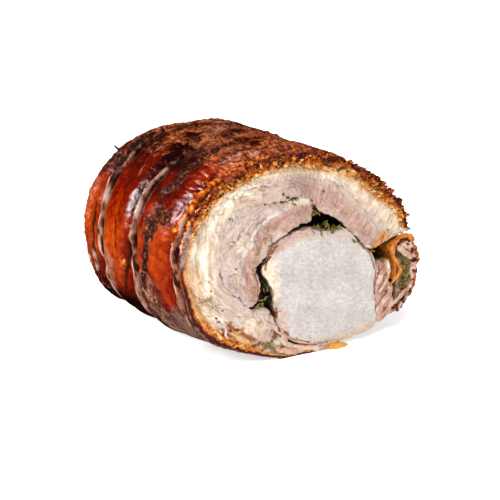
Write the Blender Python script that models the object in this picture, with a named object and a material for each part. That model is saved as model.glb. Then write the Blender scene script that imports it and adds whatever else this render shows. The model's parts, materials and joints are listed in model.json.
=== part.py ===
"""A rolled and tied pork roast, cut through at the front: a belly wrapped round a loin.

The roll lies along Y. Its cut face looks along -Y, its roasted far end along +Y, and Z points
up from the surface it rests on. Sections are drawn on the cut face in millimetres, as
(across, up), and are carried backwards through the roll. The meshes are in metres.
"""

import math

import bmesh
import bpy
from mathutils import Matrix, Vector, noise

MM = 0.001

# Driving sizes in mm.
LENGTH = 146.0  # cut face to the far end's edge
CENTRE_UP = 60.0  # height of the middle of the cut face
FOOT = 0.9  # what hangs lower than this is settled flat on the surface
STRINGS = (7.0, 47.5, 89.5, 122.0)  # depth at which each string pressed into the left side
SLANTS = (0.0, 16.0, 22.0, 5.0)  # how much further back each string runs over the top
FRONTMOST = math.radians(175.0)  # direction in which the slanting strings come furthest forward
WAVER = 1.6  # how far a string strays from its even course
WAVER_SIZE = 28.0
BITE = 3.4  # how far a string pressed in
BITE_WIDTH = 2.6
FALL = 2.6  # how far the skin rounds off towards a string
FALL_LENGTH = 18.0
SKIN_SHARE = 0.86  # a string moves only what lies beyond this share of the way to the rim
BITE_FREE_UP = 10.0  # below this height no string shows
BITE_FULL_UP = 32.0
DOME = 5.0  # how far the middle of the far end stands out
SEAM = 0.6  # clearance between two layers
RIND = 2.2  # thickness of the tucked-in strip of skin
CRAG = 0.7  # unevenness of the crust
CRAG_AT_CUT = 0.8  # more of it where the knife broke the crust
CRAG_AT_CUT_LENGTH = 4.0
CRAG_SIZE = 9.0

# How the roll swells and draws in behind the cut: depth, width, height, sideways drift, lift.
SWELL = (
    (0.0, 1.00, 1.00, 0.0, 0.0),
    (18.0, 1.02, 1.01, -1.5, 0.0),
    (43.0, 1.045, 1.025, -4.0, 0.0),
    (83.0, 1.055, 1.035, -4.0, 0.0),
    (108.0, 1.055, 1.055, -3.5, 0.0),
    (120.0, 1.015, 0.985, -3.0, 0.3),
    (130.0, 0.97, 0.885, -2.8, 1.5),
    (139.0, 0.88, 0.77, -3.0, 4.0),
    (146.0, 0.76, 0.64, -3.0, 8.0),
)

# Outline of the whole cut face, from the top, clockwise seen from the front.
RIM = (
    (7, 121), (24, 116.5), (40, 109.5), (56, 99), (65, 90), (72, 81.5), (76, 73.5), (78.2, 66),
    (80.4, 60), (84.4, 52), (86, 44), (85, 36.5), (83, 28), (77, 19.5), (66, 12), (53, 7),
    (36, 2.5), (19, 0.2), (2, 0), (-15, 0.4), (-32, 4.6), (-49, 11), (-64, 18.6), (-74.5, 30),
    (-79.5, 44), (-82, 58), (-82, 72), (-79, 84), (-73, 94), (-64, 103), (-53, 111), (-40, 117),
    (-25, 121), (-10, 122.5),
)

# Where the outer belly meets what it wraps, from under the loin to the right-hand seam.
WRAP_SEAM = (
    (14, 2.6), (0, 4.8), (-10, 9), (-16.5, 14.5), (-20.5, 23), (-25, 31), (-31, 34.3),
    (-37, 33.5), (-46, 41.5), (-55, 50.5), (-57.3, 62), (-56, 76), (-51, 87.5), (-40, 93.8),
    (-24, 93.7), (-12, 94.2), (-3, 95.4), (4, 92), (10, 85.5), (20, 81), (28, 75), (38, 66),
    (47, 58.3), (57, 61), (66, 63), (76, 65.4),
)
WRAP_START = 283.0  # rim angles in degrees where the outer belly starts and ends
WRAP_END = 4.6

# Inner turn of the belly: its side towards the loin, from the tip down to the foot.
TURN_SEAM = (
    (3.6, 86), (3, 81), (-4, 79), (-12, 76.3), (-22, 70.6), (-28, 63.2), (-34.2, 58.4),
    (-33.2, 53), (-31, 47), (-32.4, 40), (-36.5, 34.8),
)

LOIN = (
    (51.5, 48), (46.3, 57), (37.2, 65), (27, 73.4), (15, 73.2), (4, 76.5), (-10, 74), (-21, 69),
    (-27, 60), (-28, 53), (-21.4, 43), (-21, 34), (-18, 22), (-11, 12.5), (2, 6.2), (20, 3.6),
    (38, 5), (52, 9), (52.5, 22), (51, 34),
)

# Herb stuffing in the three gaps round the loin.
STUFFING = {
    "top": (
        (5.6, 87.4), (8.8, 84), (18, 79.4), (24.6, 76.4), (25, 75), (15, 74.6), (5.4, 77.8),
        (4.9, 82),
    ),
    "left": (
        (-32.8, 57.4), (-30, 59.6), (-29, 58), (-29.4, 53), (-28, 50), (-23, 44), (-22.6, 36),
        (-26, 33.4), (-31, 36.4), (-29.8, 46.6), (-32.2, 52.6),
    ),
    "right": ((50.2, 55.4), (53.4, 57.5), (59.2, 59.4), (61, 57), (56, 51.8), (53, 51)),
}

SEAM_MEAT = (
    (53.4, 48), (52.6, 33), (54, 22), (54, 11.4), (62, 13.8), (68, 17), (65.6, 24),
    (64.6, 31.5), (62, 35), (63.6, 42), (62, 49), (57, 50.2),
)
RIND_LINE = ((66.3, 35.5), (67.3, 40), (67.2, 45), (65.5, 51), (64, 55.6), (66, 59.2), (70, 60.6))

# Outer end of the belly, tucked against the seam: its inner side, from the top down.
END_SEAM = (
    (78.5, 60.4), (73, 58.4), (69.6, 55), (69.8, 50), (70.2, 44), (69.8, 38), (68.4, 32),
    (68.6, 25), (69.8, 18.4),
)
END_START = 0.3  # rim angles of the outer end of the belly
END_STOP = -31.5

# Where the cross-sections lie that every loft runs through.
NEAR_STRING = (-6.0, -2.6, 0.0, 2.6, 6.0)
BETWEEN_STRINGS = 2
FAR_END = (133.5, 138.5, 143.0, LENGTH)
FIRST_STEP = 2.0  # the least distance of a cross-section from the cut face

# How many points each outline gets.
WRAP_RIM_POINTS = 50
SEAM_POINTS = 32
TURN_POINTS = 15
LOIN_POINTS = 32
MEAT_POINTS = 17
RIND_POINTS = 8
END_POINTS = 9
STUFFING_POINTS = {"top": 12, "left": 15, "right": 10}

# How far the stuffing has fallen back behind the cut face.
RECESS = {"top": 12.0, "left": 4.0, "right": 9.0}


def smooth_closed(points, count):
    """Return count evenly spaced points on a smooth closed curve through the given ones."""
    return spread(curve_through(list(points), closed=True), count, closed=True)


def smooth_open(points, count):
    """Return count evenly spaced points on a smooth open curve through the given ones."""
    return spread(curve_through(list(points), closed=False), count, closed=False)


def curve_through(points, closed, steps=10):
    """Follow a Catmull-Rom curve through the points in short steps."""
    total = len(points)
    spans = total if closed else total - 1
    curve = []
    for span in range(spans):
        corners = []
        for offset in (-1, 0, 1, 2):
            index = span + offset
            index = index % total if closed else min(max(index, 0), total - 1)
            corners.append(Vector(points[index]))
        before, start, end, after = corners
        for step in range(steps):
            t = step / steps
            curve.append(0.5 * (
                2 * start
                + (end - before) * t
                + (2 * before - 5 * start + 4 * end - after) * t * t
                + (3 * start - before - 3 * end + after) * t ** 3
            ))
    if not closed:
        curve.append(Vector(points[-1]))
    return curve


def spread(curve, count, closed):
    """Place count points along a polyline at equal distances."""
    line = curve + [curve[0]] if closed else curve
    lengths = [0.0]
    for start, end in zip(line, line[1:]):
        lengths.append(lengths[-1] + (end - start).length)
    parts = count if closed else count - 1
    placed = []
    span = 0
    for number in range(count):
        target = min(lengths[-1] * number / parts, lengths[-1])
        while span < len(line) - 2 and lengths[span + 1] < target:
            span += 1
        share = (target - lengths[span]) / (lengths[span + 1] - lengths[span])
        placed.append(line[span].lerp(line[span + 1], share))
    return placed


def beside(line, distance):
    """Shift an open line sideways, to its left as it runs for a positive distance."""
    shifted = []
    for index, point in enumerate(line):
        before = line[max(index - 1, 0)]
        after = line[min(index + 1, len(line) - 1)]
        run = (after - before).normalized()
        shifted.append(point + distance * Vector((-run.y, run.x)))
    return shifted


def reach_table():
    """List the rim's angle and distance from the middle of the face, sorted by angle."""
    table = []
    for point in curve_through(list(RIM), closed=True):
        from_centre = point - Vector((0, CENTRE_UP))
        table.append((math.atan2(from_centre.y, from_centre.x), from_centre.length))
    table.sort()
    first, last = table[0], table[-1]
    full_turn = 2 * math.pi
    return [(last[0] - full_turn, last[1])] + table + [(first[0] + full_turn, first[1])]


REACHES = reach_table()


def rim_reach(angle):
    """Distance from the middle of the face to its rim, in a direction given in radians."""
    angle = math.atan2(math.sin(angle), math.cos(angle))
    for (start, near), (end, far) in zip(REACHES, REACHES[1:]):
        if start <= angle <= end:
            return near + (far - near) * (angle - start) / (end - start)
    return REACHES[0][1]


def along_rim(start, end, count):
    """Points on the rim between two angles in degrees, evenly spaced."""
    line = []
    for step in range(201):
        angle = math.radians(start + (end - start) * step / 200)
        reach = rim_reach(angle)
        line.append(Vector((reach * math.cos(angle), CENTRE_UP + reach * math.sin(angle))))
    return spread(line, count, closed=False)


def ease(value, low, high):
    """Change smoothly from 0 at low to 1 at high; low may be the larger one."""
    share = min(max((value - low) / (high - low), 0.0), 1.0)
    return share * share * (3 - 2 * share)


def swell(depth):
    """Width, height, drift and lift of the roll at a depth, on smooth curves."""
    depth = min(max(depth, 0.0), LENGTH)
    last = len(SWELL) - 1
    span = next(index for index in range(last) if depth <= SWELL[index + 1][0])
    start, end = SWELL[span], SWELL[span + 1]
    before, after = SWELL[max(span - 1, 0)], SWELL[min(span + 2, last)]
    length = end[0] - start[0]
    t = (depth - start[0]) / length
    values = []
    for kind in range(1, len(start)):
        rise_in = (end[kind] - before[kind]) / (end[0] - before[0]) * length
        rise_out = (after[kind] - start[kind]) / (after[0] - start[0]) * length
        values.append(
            start[kind] * (1 + 2 * t) * (1 - t) ** 2
            + rise_in * t * (1 - t) ** 2
            + end[kind] * t * t * (3 - 2 * t)
            + rise_out * t * t * (t - 1)
        )
    return values


def course(depth, angle, nearness):
    """How far behind its mean depth a ring of skin runs, at an angle round the roll."""
    knots = [(0.0, 0.0), *zip(STRINGS, SLANTS), (LENGTH, 0.0)]
    slant = 0.0
    for (start, near), (end, far) in zip(knots, knots[1:]):
        if start <= depth <= end:
            slant = near + (far - near) * (depth - start) / (end - start)
    ends_kept = ease(depth, 0.0, STRINGS[0]) * ease(depth, LENGTH, STRINGS[-1])
    place = Vector((math.cos(angle), math.sin(angle), 0.0)) * CENTRE_UP + Vector((0, 0, depth))
    waver = WAVER * noise.noise(place / WAVER_SIZE) * ends_kept
    return (slant * math.sin(angle - FRONTMOST) ** 2 + waver) * nearness * nearness


def drawn_in(depth):
    """How far the skin lies inside its full roundness: strings and the fall towards them."""
    nearest = min(abs(depth - string) for string in STRINGS)
    bite = math.exp(-((nearest / BITE_WIDTH) ** 2))
    fall = (1 - min(nearest, FALL_LENGTH) / FALL_LENGTH) ** 2
    return (BITE * bite + FALL * fall) * ease(depth, 0.0, STRINGS[0])


def crag(point, depth):
    """Unevenness of the crust at a place on the rim."""
    size = CRAG + CRAG_AT_CUT * math.exp(-depth / CRAG_AT_CUT_LENGTH)
    return size * noise.noise(Vector((point.x, depth, point.y)) / CRAG_SIZE)


def carry(point, depth):
    """Place in metres of a point of the section, at a depth behind the cut face."""
    from_centre = point - Vector((0, CENTRE_UP))
    angle = math.atan2(from_centre.y, from_centre.x)
    reach = from_centre.length
    nearness = reach / rim_reach(angle)
    hold = ease(nearness, SKIN_SHARE, 1.0) * ease(point.y, BITE_FREE_UP, BITE_FULL_UP)
    reach -= hold * (drawn_in(depth) + crag(point, depth))
    run = depth + course(depth, angle, nearness)
    width, height, drift, lift = swell(run)
    across = reach * math.cos(angle) * width + drift
    up = (CENTRE_UP + reach * math.sin(angle)) * height
    if up < FOOT:
        up = 0.0
    lift = max(lift, 0.0)
    dome = DOME * (1 - nearness * nearness) * (depth / LENGTH) ** 8
    return Vector((across, run + dome, up + lift)) * MM


def cross_sections():
    """Depths of all cross-sections: close together at each string."""
    depths = [0.0]
    for number, string in enumerate(STRINGS):
        depths += [string + step for step in NEAR_STRING if string + step > FIRST_STEP]
        if number + 1 < len(STRINGS):
            start = string + NEAR_STRING[-1]
            end = STRINGS[number + 1] + NEAR_STRING[0]
            for step in range(1, BETWEEN_STRINGS + 1):
                depths.append(start + (end - start) * step / (BETWEEN_STRINGS + 1))
    return depths + list(FAR_END)


DEPTHS = cross_sections()


def look(name, colour, roughness):
    """Make a Principled material in one colour."""
    material = bpy.data.materials.new(name)
    material.use_nodes = True
    shader = material.node_tree.nodes["Principled BSDF"]
    shader.inputs["Base Color"].default_value = (*colour, 1.0)
    shader.inputs["Roughness"].default_value = roughness
    shader.inputs["Metallic"].default_value = 0.0
    material.diffuse_color = (*colour, 1.0)
    return material


def anticlockwise(section):
    """Return the section in anticlockwise order, as seen from the front."""
    area = 0.0
    for start, end in zip(section, section[1:] + section[:1]):
        area += start.x * end.y - end.x * start.y
    return section if area > 0 else section[::-1]


def loft(name, section, material, collection, recess=0.0):
    """Carry a closed section backwards through the roll and close both of its ends."""
    section = anticlockwise(section)
    depths = [depth for depth in DEPTHS if depth >= recess]
    shape = bmesh.new()
    rings = []
    for depth in depths:
        rings.append([shape.verts.new(carry(point, depth)) for point in section])
    for front, back in zip(rings, rings[1:]):
        for index in range(len(section)):
            following = (index + 1) % len(section)
            shape.faces.new((front[index], back[index], back[following], front[following]))
    ends = [shape.faces.new(rings[0]), shape.faces.new(rings[-1][::-1])]
    shape.normal_update()
    bmesh.ops.triangulate(shape, faces=ends)
    mesh = bpy.data.meshes.new(name)
    shape.to_mesh(mesh)
    shape.free()
    mesh.shade_smooth()
    mesh.set_sharp_from_angle(angle=math.radians(50))
    mesh.materials.append(material)
    piece = bpy.data.objects.new(name, mesh)
    collection.objects.link(piece)
    return piece


def wrap_section():
    """Outer belly: along the rim, then back along the seam with what it wraps."""
    outside = along_rim(WRAP_START, WRAP_END, WRAP_RIM_POINTS)
    inside = beside(smooth_open(WRAP_SEAM, SEAM_POINTS), SEAM / 2)
    return outside + inside[::-1]


def turn_section():
    """Inner turn of the belly: its side along the outer belly, then its side to the loin."""
    line = smooth_open(WRAP_SEAM, SEAM_POINTS)
    foot = nearest_index(line, TURN_SEAM[-1])
    tip = nearest_index(line, TURN_SEAM[0])
    return beside(line, -SEAM / 2)[foot + 1:tip] + smooth_open(TURN_SEAM, TURN_POINTS)


def nearest_index(line, place):
    """Index of the point of a line that lies nearest to a place."""
    return min(range(len(line)), key=lambda index: (line[index] - Vector(place)).length)


def rind_section():
    """Strip of skin tucked into the seam, of even thickness round its own line."""
    line = smooth_open(RIND_LINE, RIND_POINTS)
    return beside(line, RIND / 2) + beside(line, -RIND / 2)[::-1]


def end_section():
    """Outer end of the belly: skin on the rim, then its torn inner side."""
    skin = along_rim(END_STOP, END_START, END_POINTS)
    return skin + smooth_open(END_SEAM, END_POINTS)


def centre_on_origin(pieces):
    """Shift all meshes so that the bottom centre of their common box is the origin."""
    places = [vertex.co for piece in pieces for vertex in piece.data.vertices]
    low = [min(place[axis] for place in places) for axis in range(3)]
    high = [max(place[axis] for place in places) for axis in range(3)]
    shift = Vector((-(low[0] + high[0]) / 2, -(low[1] + high[1]) / 2, -low[2]))
    for piece in pieces:
        piece.data.transform(Matrix.Translation(shift))


def build():
    """Make every piece of the roast."""
    for item in list(bpy.data.objects):
        bpy.data.objects.remove(item, do_unlink=True)
    roast = bpy.data.collections.new("rolled_roast")
    bpy.context.scene.collection.children.link(roast)

    skin = look("roasted_skin", (0.36, 0.07, 0.015), 0.3)
    belly = look("belly_meat", (0.58, 0.42, 0.34), 0.5)
    pale_meat = look("loin_meat", (0.74, 0.66, 0.60), 0.5)
    herbs = look("herb_stuffing", (0.06, 0.05, 0.015), 0.7)
    rind = look("orange_rind", (0.62, 0.24, 0.05), 0.35)
    pink_meat = look("seam_meat", (0.50, 0.30, 0.23), 0.5)

    pieces = [
        loft("belly_wrap", wrap_section(), skin, roast),
        loft("belly_end", end_section(), skin, roast),
        loft("belly_turn", turn_section(), belly, roast),
        loft("loin", smooth_closed(LOIN, LOIN_POINTS), pale_meat, roast),
        loft("seam_meat", smooth_closed(SEAM_MEAT, MEAT_POINTS), pink_meat, roast),
        loft("rind_strip", rind_section(), rind, roast),
    ]
    for side, outline in STUFFING.items():
        section = smooth_closed(outline, STUFFING_POINTS[side])
        pieces.append(loft("stuffing_" + side, section, herbs, roast, recess=RECESS[side]))
    centre_on_origin(pieces)


build()
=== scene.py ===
"""Looks of a rolled and tied pork roast, cut through at the front, built round its solids.

Every piece is drawn on the cut face in millimetres, as (across, up), and is carried backwards
through the roll in the same way as its solid. A piece starts as one flat grid of quads. The grid
is moved into shape, its edges are merged, and what it needs for its finish is kept on its points.
"""

import json
import math
import random

import bmesh
import bpy
import numpy as np
from mathutils import Matrix, Quaternion, Vector, noise

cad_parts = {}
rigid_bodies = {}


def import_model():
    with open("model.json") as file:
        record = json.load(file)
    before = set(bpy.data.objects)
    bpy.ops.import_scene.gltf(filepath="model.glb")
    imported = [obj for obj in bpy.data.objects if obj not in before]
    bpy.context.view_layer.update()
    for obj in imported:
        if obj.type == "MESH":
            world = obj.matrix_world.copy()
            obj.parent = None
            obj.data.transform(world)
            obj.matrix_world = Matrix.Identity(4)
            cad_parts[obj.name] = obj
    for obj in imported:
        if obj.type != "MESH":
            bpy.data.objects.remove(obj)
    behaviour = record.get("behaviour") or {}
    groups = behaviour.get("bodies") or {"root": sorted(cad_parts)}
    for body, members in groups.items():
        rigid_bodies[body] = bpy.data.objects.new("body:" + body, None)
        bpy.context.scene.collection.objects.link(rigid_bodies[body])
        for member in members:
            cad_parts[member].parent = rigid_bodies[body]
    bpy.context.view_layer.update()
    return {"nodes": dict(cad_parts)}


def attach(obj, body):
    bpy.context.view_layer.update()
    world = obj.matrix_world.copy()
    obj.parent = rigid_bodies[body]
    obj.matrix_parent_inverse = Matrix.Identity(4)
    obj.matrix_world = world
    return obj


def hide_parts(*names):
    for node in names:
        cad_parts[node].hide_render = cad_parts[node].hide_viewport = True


for leftover in list(bpy.data.objects):
    bpy.data.objects.remove(leftover)

# Noise vectors come from a table that is drawn by the clock unless it is given a seed.
noise.seed_set(4)

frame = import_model()

MM = 0.001

# The roll, as its solids are made: sizes in mm.
LENGTH = 146.0
CENTRE_UP = 60.0
FOOT = 0.9
STRINGS = (7.0, 47.5, 89.5, 122.0)
SLANTS = (0.0, 16.0, 22.0, 5.0)
FRONTMOST = math.radians(175.0)
WAVER = 1.6
WAVER_SIZE = 28.0
BITE = 3.4
BITE_WIDTH = 2.6
FALL = 2.6
FALL_LENGTH = 18.0
SKIN_SHARE = 0.86
BITE_FREE_UP = 10.0
BITE_FULL_UP = 32.0
DOME = 5.0
SEAM = 0.6
RIND = 2.2

# Depth, width, height, sideways drift and lift of the roll behind the cut.
SWELL = np.array((
    (0.0, 1.00, 1.00, 0.0, 0.0),
    (18.0, 1.02, 1.01, -1.5, 0.0),
    (43.0, 1.045, 1.025, -4.0, 0.0),
    (83.0, 1.055, 1.035, -4.0, 0.0),
    (108.0, 1.055, 1.055, -3.5, 0.0),
    (120.0, 1.015, 0.985, -3.0, 0.3),
    (130.0, 0.97, 0.885, -2.8, 1.5),
    (139.0, 0.88, 0.77, -3.0, 4.0),
    (146.0, 0.76, 0.64, -3.0, 8.0),
))

RIM = (
    (7, 121), (24, 116.5), (40, 109.5), (56, 99), (65, 90), (72, 81.5), (76, 73.5), (78.2, 66),
    (80.4, 60), (84.4, 52), (86, 44), (85, 36.5), (83, 28), (77, 19.5), (66, 12), (53, 7),
    (36, 2.5), (19, 0.2), (2, 0), (-15, 0.4), (-32, 4.6), (-49, 11), (-64, 18.6), (-74.5, 30),
    (-79.5, 44), (-82, 58), (-82, 72), (-79, 84), (-73, 94), (-64, 103), (-53, 111), (-40, 117),
    (-25, 121), (-10, 122.5),
)
WRAP_SEAM = (
    (14, 2.6), (0, 4.8), (-10, 9), (-16.5, 14.5), (-20.5, 23), (-25, 31), (-31, 34.3),
    (-37, 33.5), (-46, 41.5), (-55, 50.5), (-57.3, 62), (-56, 76), (-51, 87.5), (-40, 93.8),
    (-24, 93.7), (-12, 94.2), (-3, 95.4), (4, 92), (10, 85.5), (20, 81), (28, 75), (38, 66),
    (47, 58.3), (57, 61), (66, 63), (76, 65.4),
)
WRAP_START = 283.0
WRAP_END = 4.6
TURN_SEAM = (
    (3.6, 86), (3, 81), (-4, 79), (-12, 76.3), (-22, 70.6), (-28, 63.2), (-34.2, 58.4),
    (-33.2, 53), (-31, 47), (-32.4, 40), (-36.5, 34.8),
)
LOIN = (
    (51.5, 48), (46.3, 57), (37.2, 65), (27, 73.4), (15, 73.2), (4, 76.5), (-10, 74), (-21, 69),
    (-27, 60), (-28, 53), (-21.4, 43), (-21, 34), (-18, 22), (-11, 12.5), (2, 6.2), (20, 3.6),
    (38, 5), (52, 9), (52.5, 22), (51, 34),
)
STUFFING = {
    "top": (
        (5.6, 87.4), (8.8, 84), (18, 79.4), (24.6, 76.4), (25, 75), (15, 74.6), (5.4, 77.8),
        (4.9, 82),
    ),
    "left": (
        (-32.8, 57.4), (-30, 59.6), (-29, 58), (-29.4, 53), (-28, 50), (-23, 44), (-22.6, 36),
        (-26, 33.4), (-31, 36.4), (-29.8, 46.6), (-32.2, 52.6),
    ),
    "right": ((50.2, 55.4), (53.4, 57.5), (59.2, 59.4), (61, 57), (56, 51.8), (53, 51)),
}
RECESS = {"top": 12.0, "left": 4.0, "right": 9.0}
SEAM_MEAT = (
    (53.4, 48), (52.6, 33), (54, 22), (54, 11.4), (62, 13.8), (68, 17), (65.6, 24),
    (64.6, 31.5), (62, 35), (63.6, 42), (62, 49), (57, 50.2),
)
RIND_LINE = ((66.3, 35.5), (67.3, 40), (67.2, 45), (65.5, 51), (64, 55.6), (66, 59.2), (70, 60.6))
END_SEAM = (
    (78.5, 60.4), (73, 58.4), (69.6, 55), (69.8, 50), (70.2, 44), (69.8, 38), (68.4, 32),
    (68.6, 25), (69.8, 18.4),
)
END_START = 0.3
END_STOP = -31.5

# Inner edge of the browned crust on the cut, from under the loin clockwise to the right seam.
CRUST_LINE = (
    (14, 1.4), (2, 1.7), (-15, 2.3), (-32, 7.5), (-45, 13.2), (-58, 20.2), (-66, 28),
    (-71.5, 36), (-75.5, 46), (-78.5, 56), (-79, 64), (-77, 72), (-74.5, 80), (-69.5, 87.5),
    (-64, 95), (-56.5, 101.5), (-48, 105.2), (-40, 108.2), (-30, 111), (-20, 113.3),
    (-11, 114), (-1, 112.8), (9, 110.5), (21, 108), (31, 104.5), (39, 99), (49, 92),
    (56, 86.5), (62.5, 81), (66.5, 76), (70.5, 70), (76.5, 66.6),
)
# Shares of the way along the seam, and along the crust's edge, that face each other.
FACING = ((0, 0), (0.17, 0.19), (0.35, 0.367), (0.53, 0.563), (0.735, 0.794), (0.846, 0.915),
          (0.949, 0.983), (1, 1))

# ---------------------------------------------------------------------------------------------
# Lines and the way through the roll


def curve_through(points, closed=False, steps=10):
    """Follow a Catmull-Rom curve through the points in short steps."""
    points = np.array(points, float)
    total = len(points)
    spans = np.arange(total if closed else total - 1)

    def corner(offset):
        """Point that lies offset places on from the start of each span."""
        index = (spans + offset) % total if closed else np.clip(spans + offset, 0, total - 1)
        return points[index][:, None]

    before, start, end, after = corner(-1), corner(0), corner(1), corner(2)
    t = (np.arange(steps) / steps)[None, :, None]
    curve = 0.5 * (
        2 * start
        + (end - before) * t
        + (2 * before - 5 * start + 4 * end - after) * t * t
        + (3 * start - before - 3 * end + after) * t ** 3
    )
    curve = curve.reshape(-1, 2)
    return np.vstack([curve, curve[0] if closed else points[-1]])


def along(curve, share):
    """Points at shares, from 0 to 1, of the way along a line."""
    steps = np.linalg.norm(np.diff(curve, axis=0), axis=1)
    lengths = np.concatenate([[0.0], np.cumsum(steps)])
    reached = share * lengths[-1]
    return np.stack([np.interp(reached, lengths, curve[:, axis]) for axis in (0, 1)], axis=1)


def off_line(places, line):
    """Distance of each place from a line."""
    nearest = np.full(len(places), np.inf)
    for start, end in zip(line, line[1:]):
        run = end - start
        from_start = places - start
        share = np.clip(from_start @ run / max(run @ run, 1e-12), 0, 1)
        gap = np.linalg.norm(from_start - share[:, None] * run, axis=1)
        nearest = np.minimum(nearest, gap)
    return nearest


def reach_table():
    """Angle and distance of the rim from the middle of the face, in order of angle."""
    from_centre = curve_through(RIM, closed=True)[:-1] - (0, CENTRE_UP)
    angle = np.arctan2(from_centre[:, 1], from_centre[:, 0])
    order = np.argsort(angle)
    return angle[order], np.linalg.norm(from_centre, axis=1)[order]


RIM_ANGLES, RIM_REACHES = reach_table()


def rim_reach(angle):
    """Distance from the middle of the face to its rim, in directions given in radians."""
    return np.interp(angle, RIM_ANGLES, RIM_REACHES, period=2 * math.pi)


def rim_line(start, end):
    """The rim between two angles in degrees."""
    angle = np.radians(np.linspace(start, end, 400))
    reach = rim_reach(angle)
    return np.stack([reach * np.cos(angle), CENTRE_UP + reach * np.sin(angle)], axis=1)


def ease(value, low, high):
    """Change smoothly from 0 at low to 1 at high; low may be the larger one."""
    share = np.clip((value - low) / (high - low), 0, 1)
    return share * share * (3 - 2 * share)


def bump(value, width):
    """1 at zero, falling away over a width on both sides."""
    return np.exp(-((value / width) ** 2))


def grain(places, size, octaves=1):
    """Smooth random relief at places in mm, with bumps of about the given size."""
    spots = np.asarray(places) / size
    if octaves == 1:
        return np.array([noise.noise(spot) for spot in spots])
    return np.array([noise.fractal(spot, 1.0, 2.0, octaves) for spot in spots])


def upright(places):
    """Places, or shifts, with a third number of 0 added to each."""
    return np.column_stack([places, np.zeros(len(places))])


def astray(places, size, octaves, apart):
    """Two random shifts for each place, read from relief that lies apart."""
    reliefs = [grain(places, size, octaves), grain(places + apart, size, octaves)]
    return np.stack(reliefs, axis=1)


def lumps(places, size):
    """Lumps about size mm apart: 0 in the gaps between them, up to 1 in their middles."""
    found = np.array([noise.voronoi(spot)[0] for spot in np.asarray(places) / size])
    return np.clip(found[:, 1] - found[:, 0], 0, 1)


def swell(depth):
    """Width, height, drift and lift of the roll at depths, on smooth curves."""
    depth = np.clip(depth, 0, LENGTH)
    last = len(SWELL) - 1
    span = np.clip(np.searchsorted(SWELL[:, 0], depth, side="left") - 1, 0, last - 1)
    start, end = SWELL[span], SWELL[span + 1]
    before, after = SWELL[np.maximum(span - 1, 0)], SWELL[np.minimum(span + 2, last)]
    length = (end - start)[:, :1]
    t = (depth[:, None] - start[:, :1]) / length
    rise_in = (end - before) / (end - before)[:, :1] * length
    rise_out = (after - start) / (after - start)[:, :1] * length
    values = (
        start * (1 + 2 * t) * (1 - t) ** 2
        + rise_in * t * (1 - t) ** 2
        + end * t * t * (3 - 2 * t)
        + rise_out * t * t * (t - 1)
    )
    return values[:, 1:].T


def course(depth, angle, nearness):
    """How far behind its mean depth a ring of skin runs, at angles round the roll."""
    slant = np.interp(depth, (0.0, *STRINGS, LENGTH), (0.0, *SLANTS, 0.0))
    ends_kept = ease(depth, 0.0, STRINGS[0]) * ease(depth, LENGTH, STRINGS[-1])
    around = np.stack([CENTRE_UP * np.cos(angle), CENTRE_UP * np.sin(angle), depth], axis=1)
    waver = WAVER * grain(around, WAVER_SIZE) * ends_kept
    return (slant * np.sin(angle - FRONTMOST) ** 2 + waver) * nearness * nearness


def to_string(depth):
    """Distance in depth to the nearest string, negative in front of it."""
    gaps = depth[:, None] - np.array(STRINGS)
    return gaps[np.arange(len(depth)), np.abs(gaps).argmin(axis=1)]


def carry(places, depth, rise=0.0, back=0.0):
    """Carry points of the section to depths behind the cut face, as places in the frame.

    rise lifts the surface outwards, and back moves it backwards, in mm.
    """
    from_centre = places - (0, CENTRE_UP)
    angle = np.arctan2(from_centre[:, 1], from_centre[:, 0])
    reach = np.linalg.norm(from_centre, axis=1)
    nearness = reach / rim_reach(angle)
    hold = ease(nearness, SKIN_SHARE, 1.0) * ease(places[:, 1], BITE_FREE_UP, BITE_FULL_UP)
    nearest = np.abs(to_string(depth))
    fall = (1 - np.minimum(nearest, FALL_LENGTH) / FALL_LENGTH) ** 2
    drawn = (BITE * bump(nearest, BITE_WIDTH) + FALL * fall) * ease(depth, 0.0, STRINGS[0])
    reach = reach - hold * drawn + rise
    run = depth + course(depth, angle, nearness)
    width, height, drift, lift = swell(run)
    across = reach * np.cos(angle) * width + drift
    up = (CENTRE_UP + reach * np.sin(angle)) * height
    up = np.where(up < FOOT, 0.0, up)
    dome = DOME * np.clip(1 - nearness * nearness, 0, 1) * (np.clip(depth, 0, LENGTH) / LENGTH) ** 8
    placed = np.stack([across, run + dome + back, up + np.maximum(lift, 0.0)], axis=1)
    return placed * MM + SHIFT


def frame_shift():
    """Where the middle of the cut face lies in the frame."""
    corners = np.array([vertex.co for vertex in frame["nodes"]["loin"].data.vertices])
    cut = corners[:, 1].min()
    edge = corners[corners[:, 1] < cut + 0.1 * MM]
    outline = curve_through(LOIN, closed=True) * MM
    across = (edge[:, 0].max() + edge[:, 0].min() - outline[:, 0].max() - outline[:, 0].min()) / 2
    return np.array([across, cut, 0.0])


SHIFT = frame_shift()

# ---------------------------------------------------------------------------------------------
# Colours and finishes


def linear(colour):
    """Turn an sRGB hex colour into linear red, green, blue and alpha."""
    shares = [int(colour[start:start + 2], 16) / 255 for start in (1, 3, 5)]
    return (*(s / 12.92 if s <= 0.04045 else ((s + 0.055) / 1.055) ** 2.4 for s in shares), 1.0)


# Places of the colour inputs and output of a Mix node.
FIRST, SECOND, MIXED = 6, 7, 2
# Colours, along cloudy noise, of the far end's crust and meat, and of the sides inside the roll: herbs
# and painted shade.
CRUST_END = ((0.3, "#2E0D06"), (0.5, "#6A2E12"), (0.7, "#9A5A2A"))
MEAT_END = ((0.3, "#3A160A"), (0.5, "#7E4420"), (0.7, "#AE7844"))
HERBS_AND_SHADE = ((0.4, "#0C0603"), (0.55, "#2C180C"), (0.7, "#58402A"))
# How much of the far end's brown shows on its meat.
END_BROWN = 0.65


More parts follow.
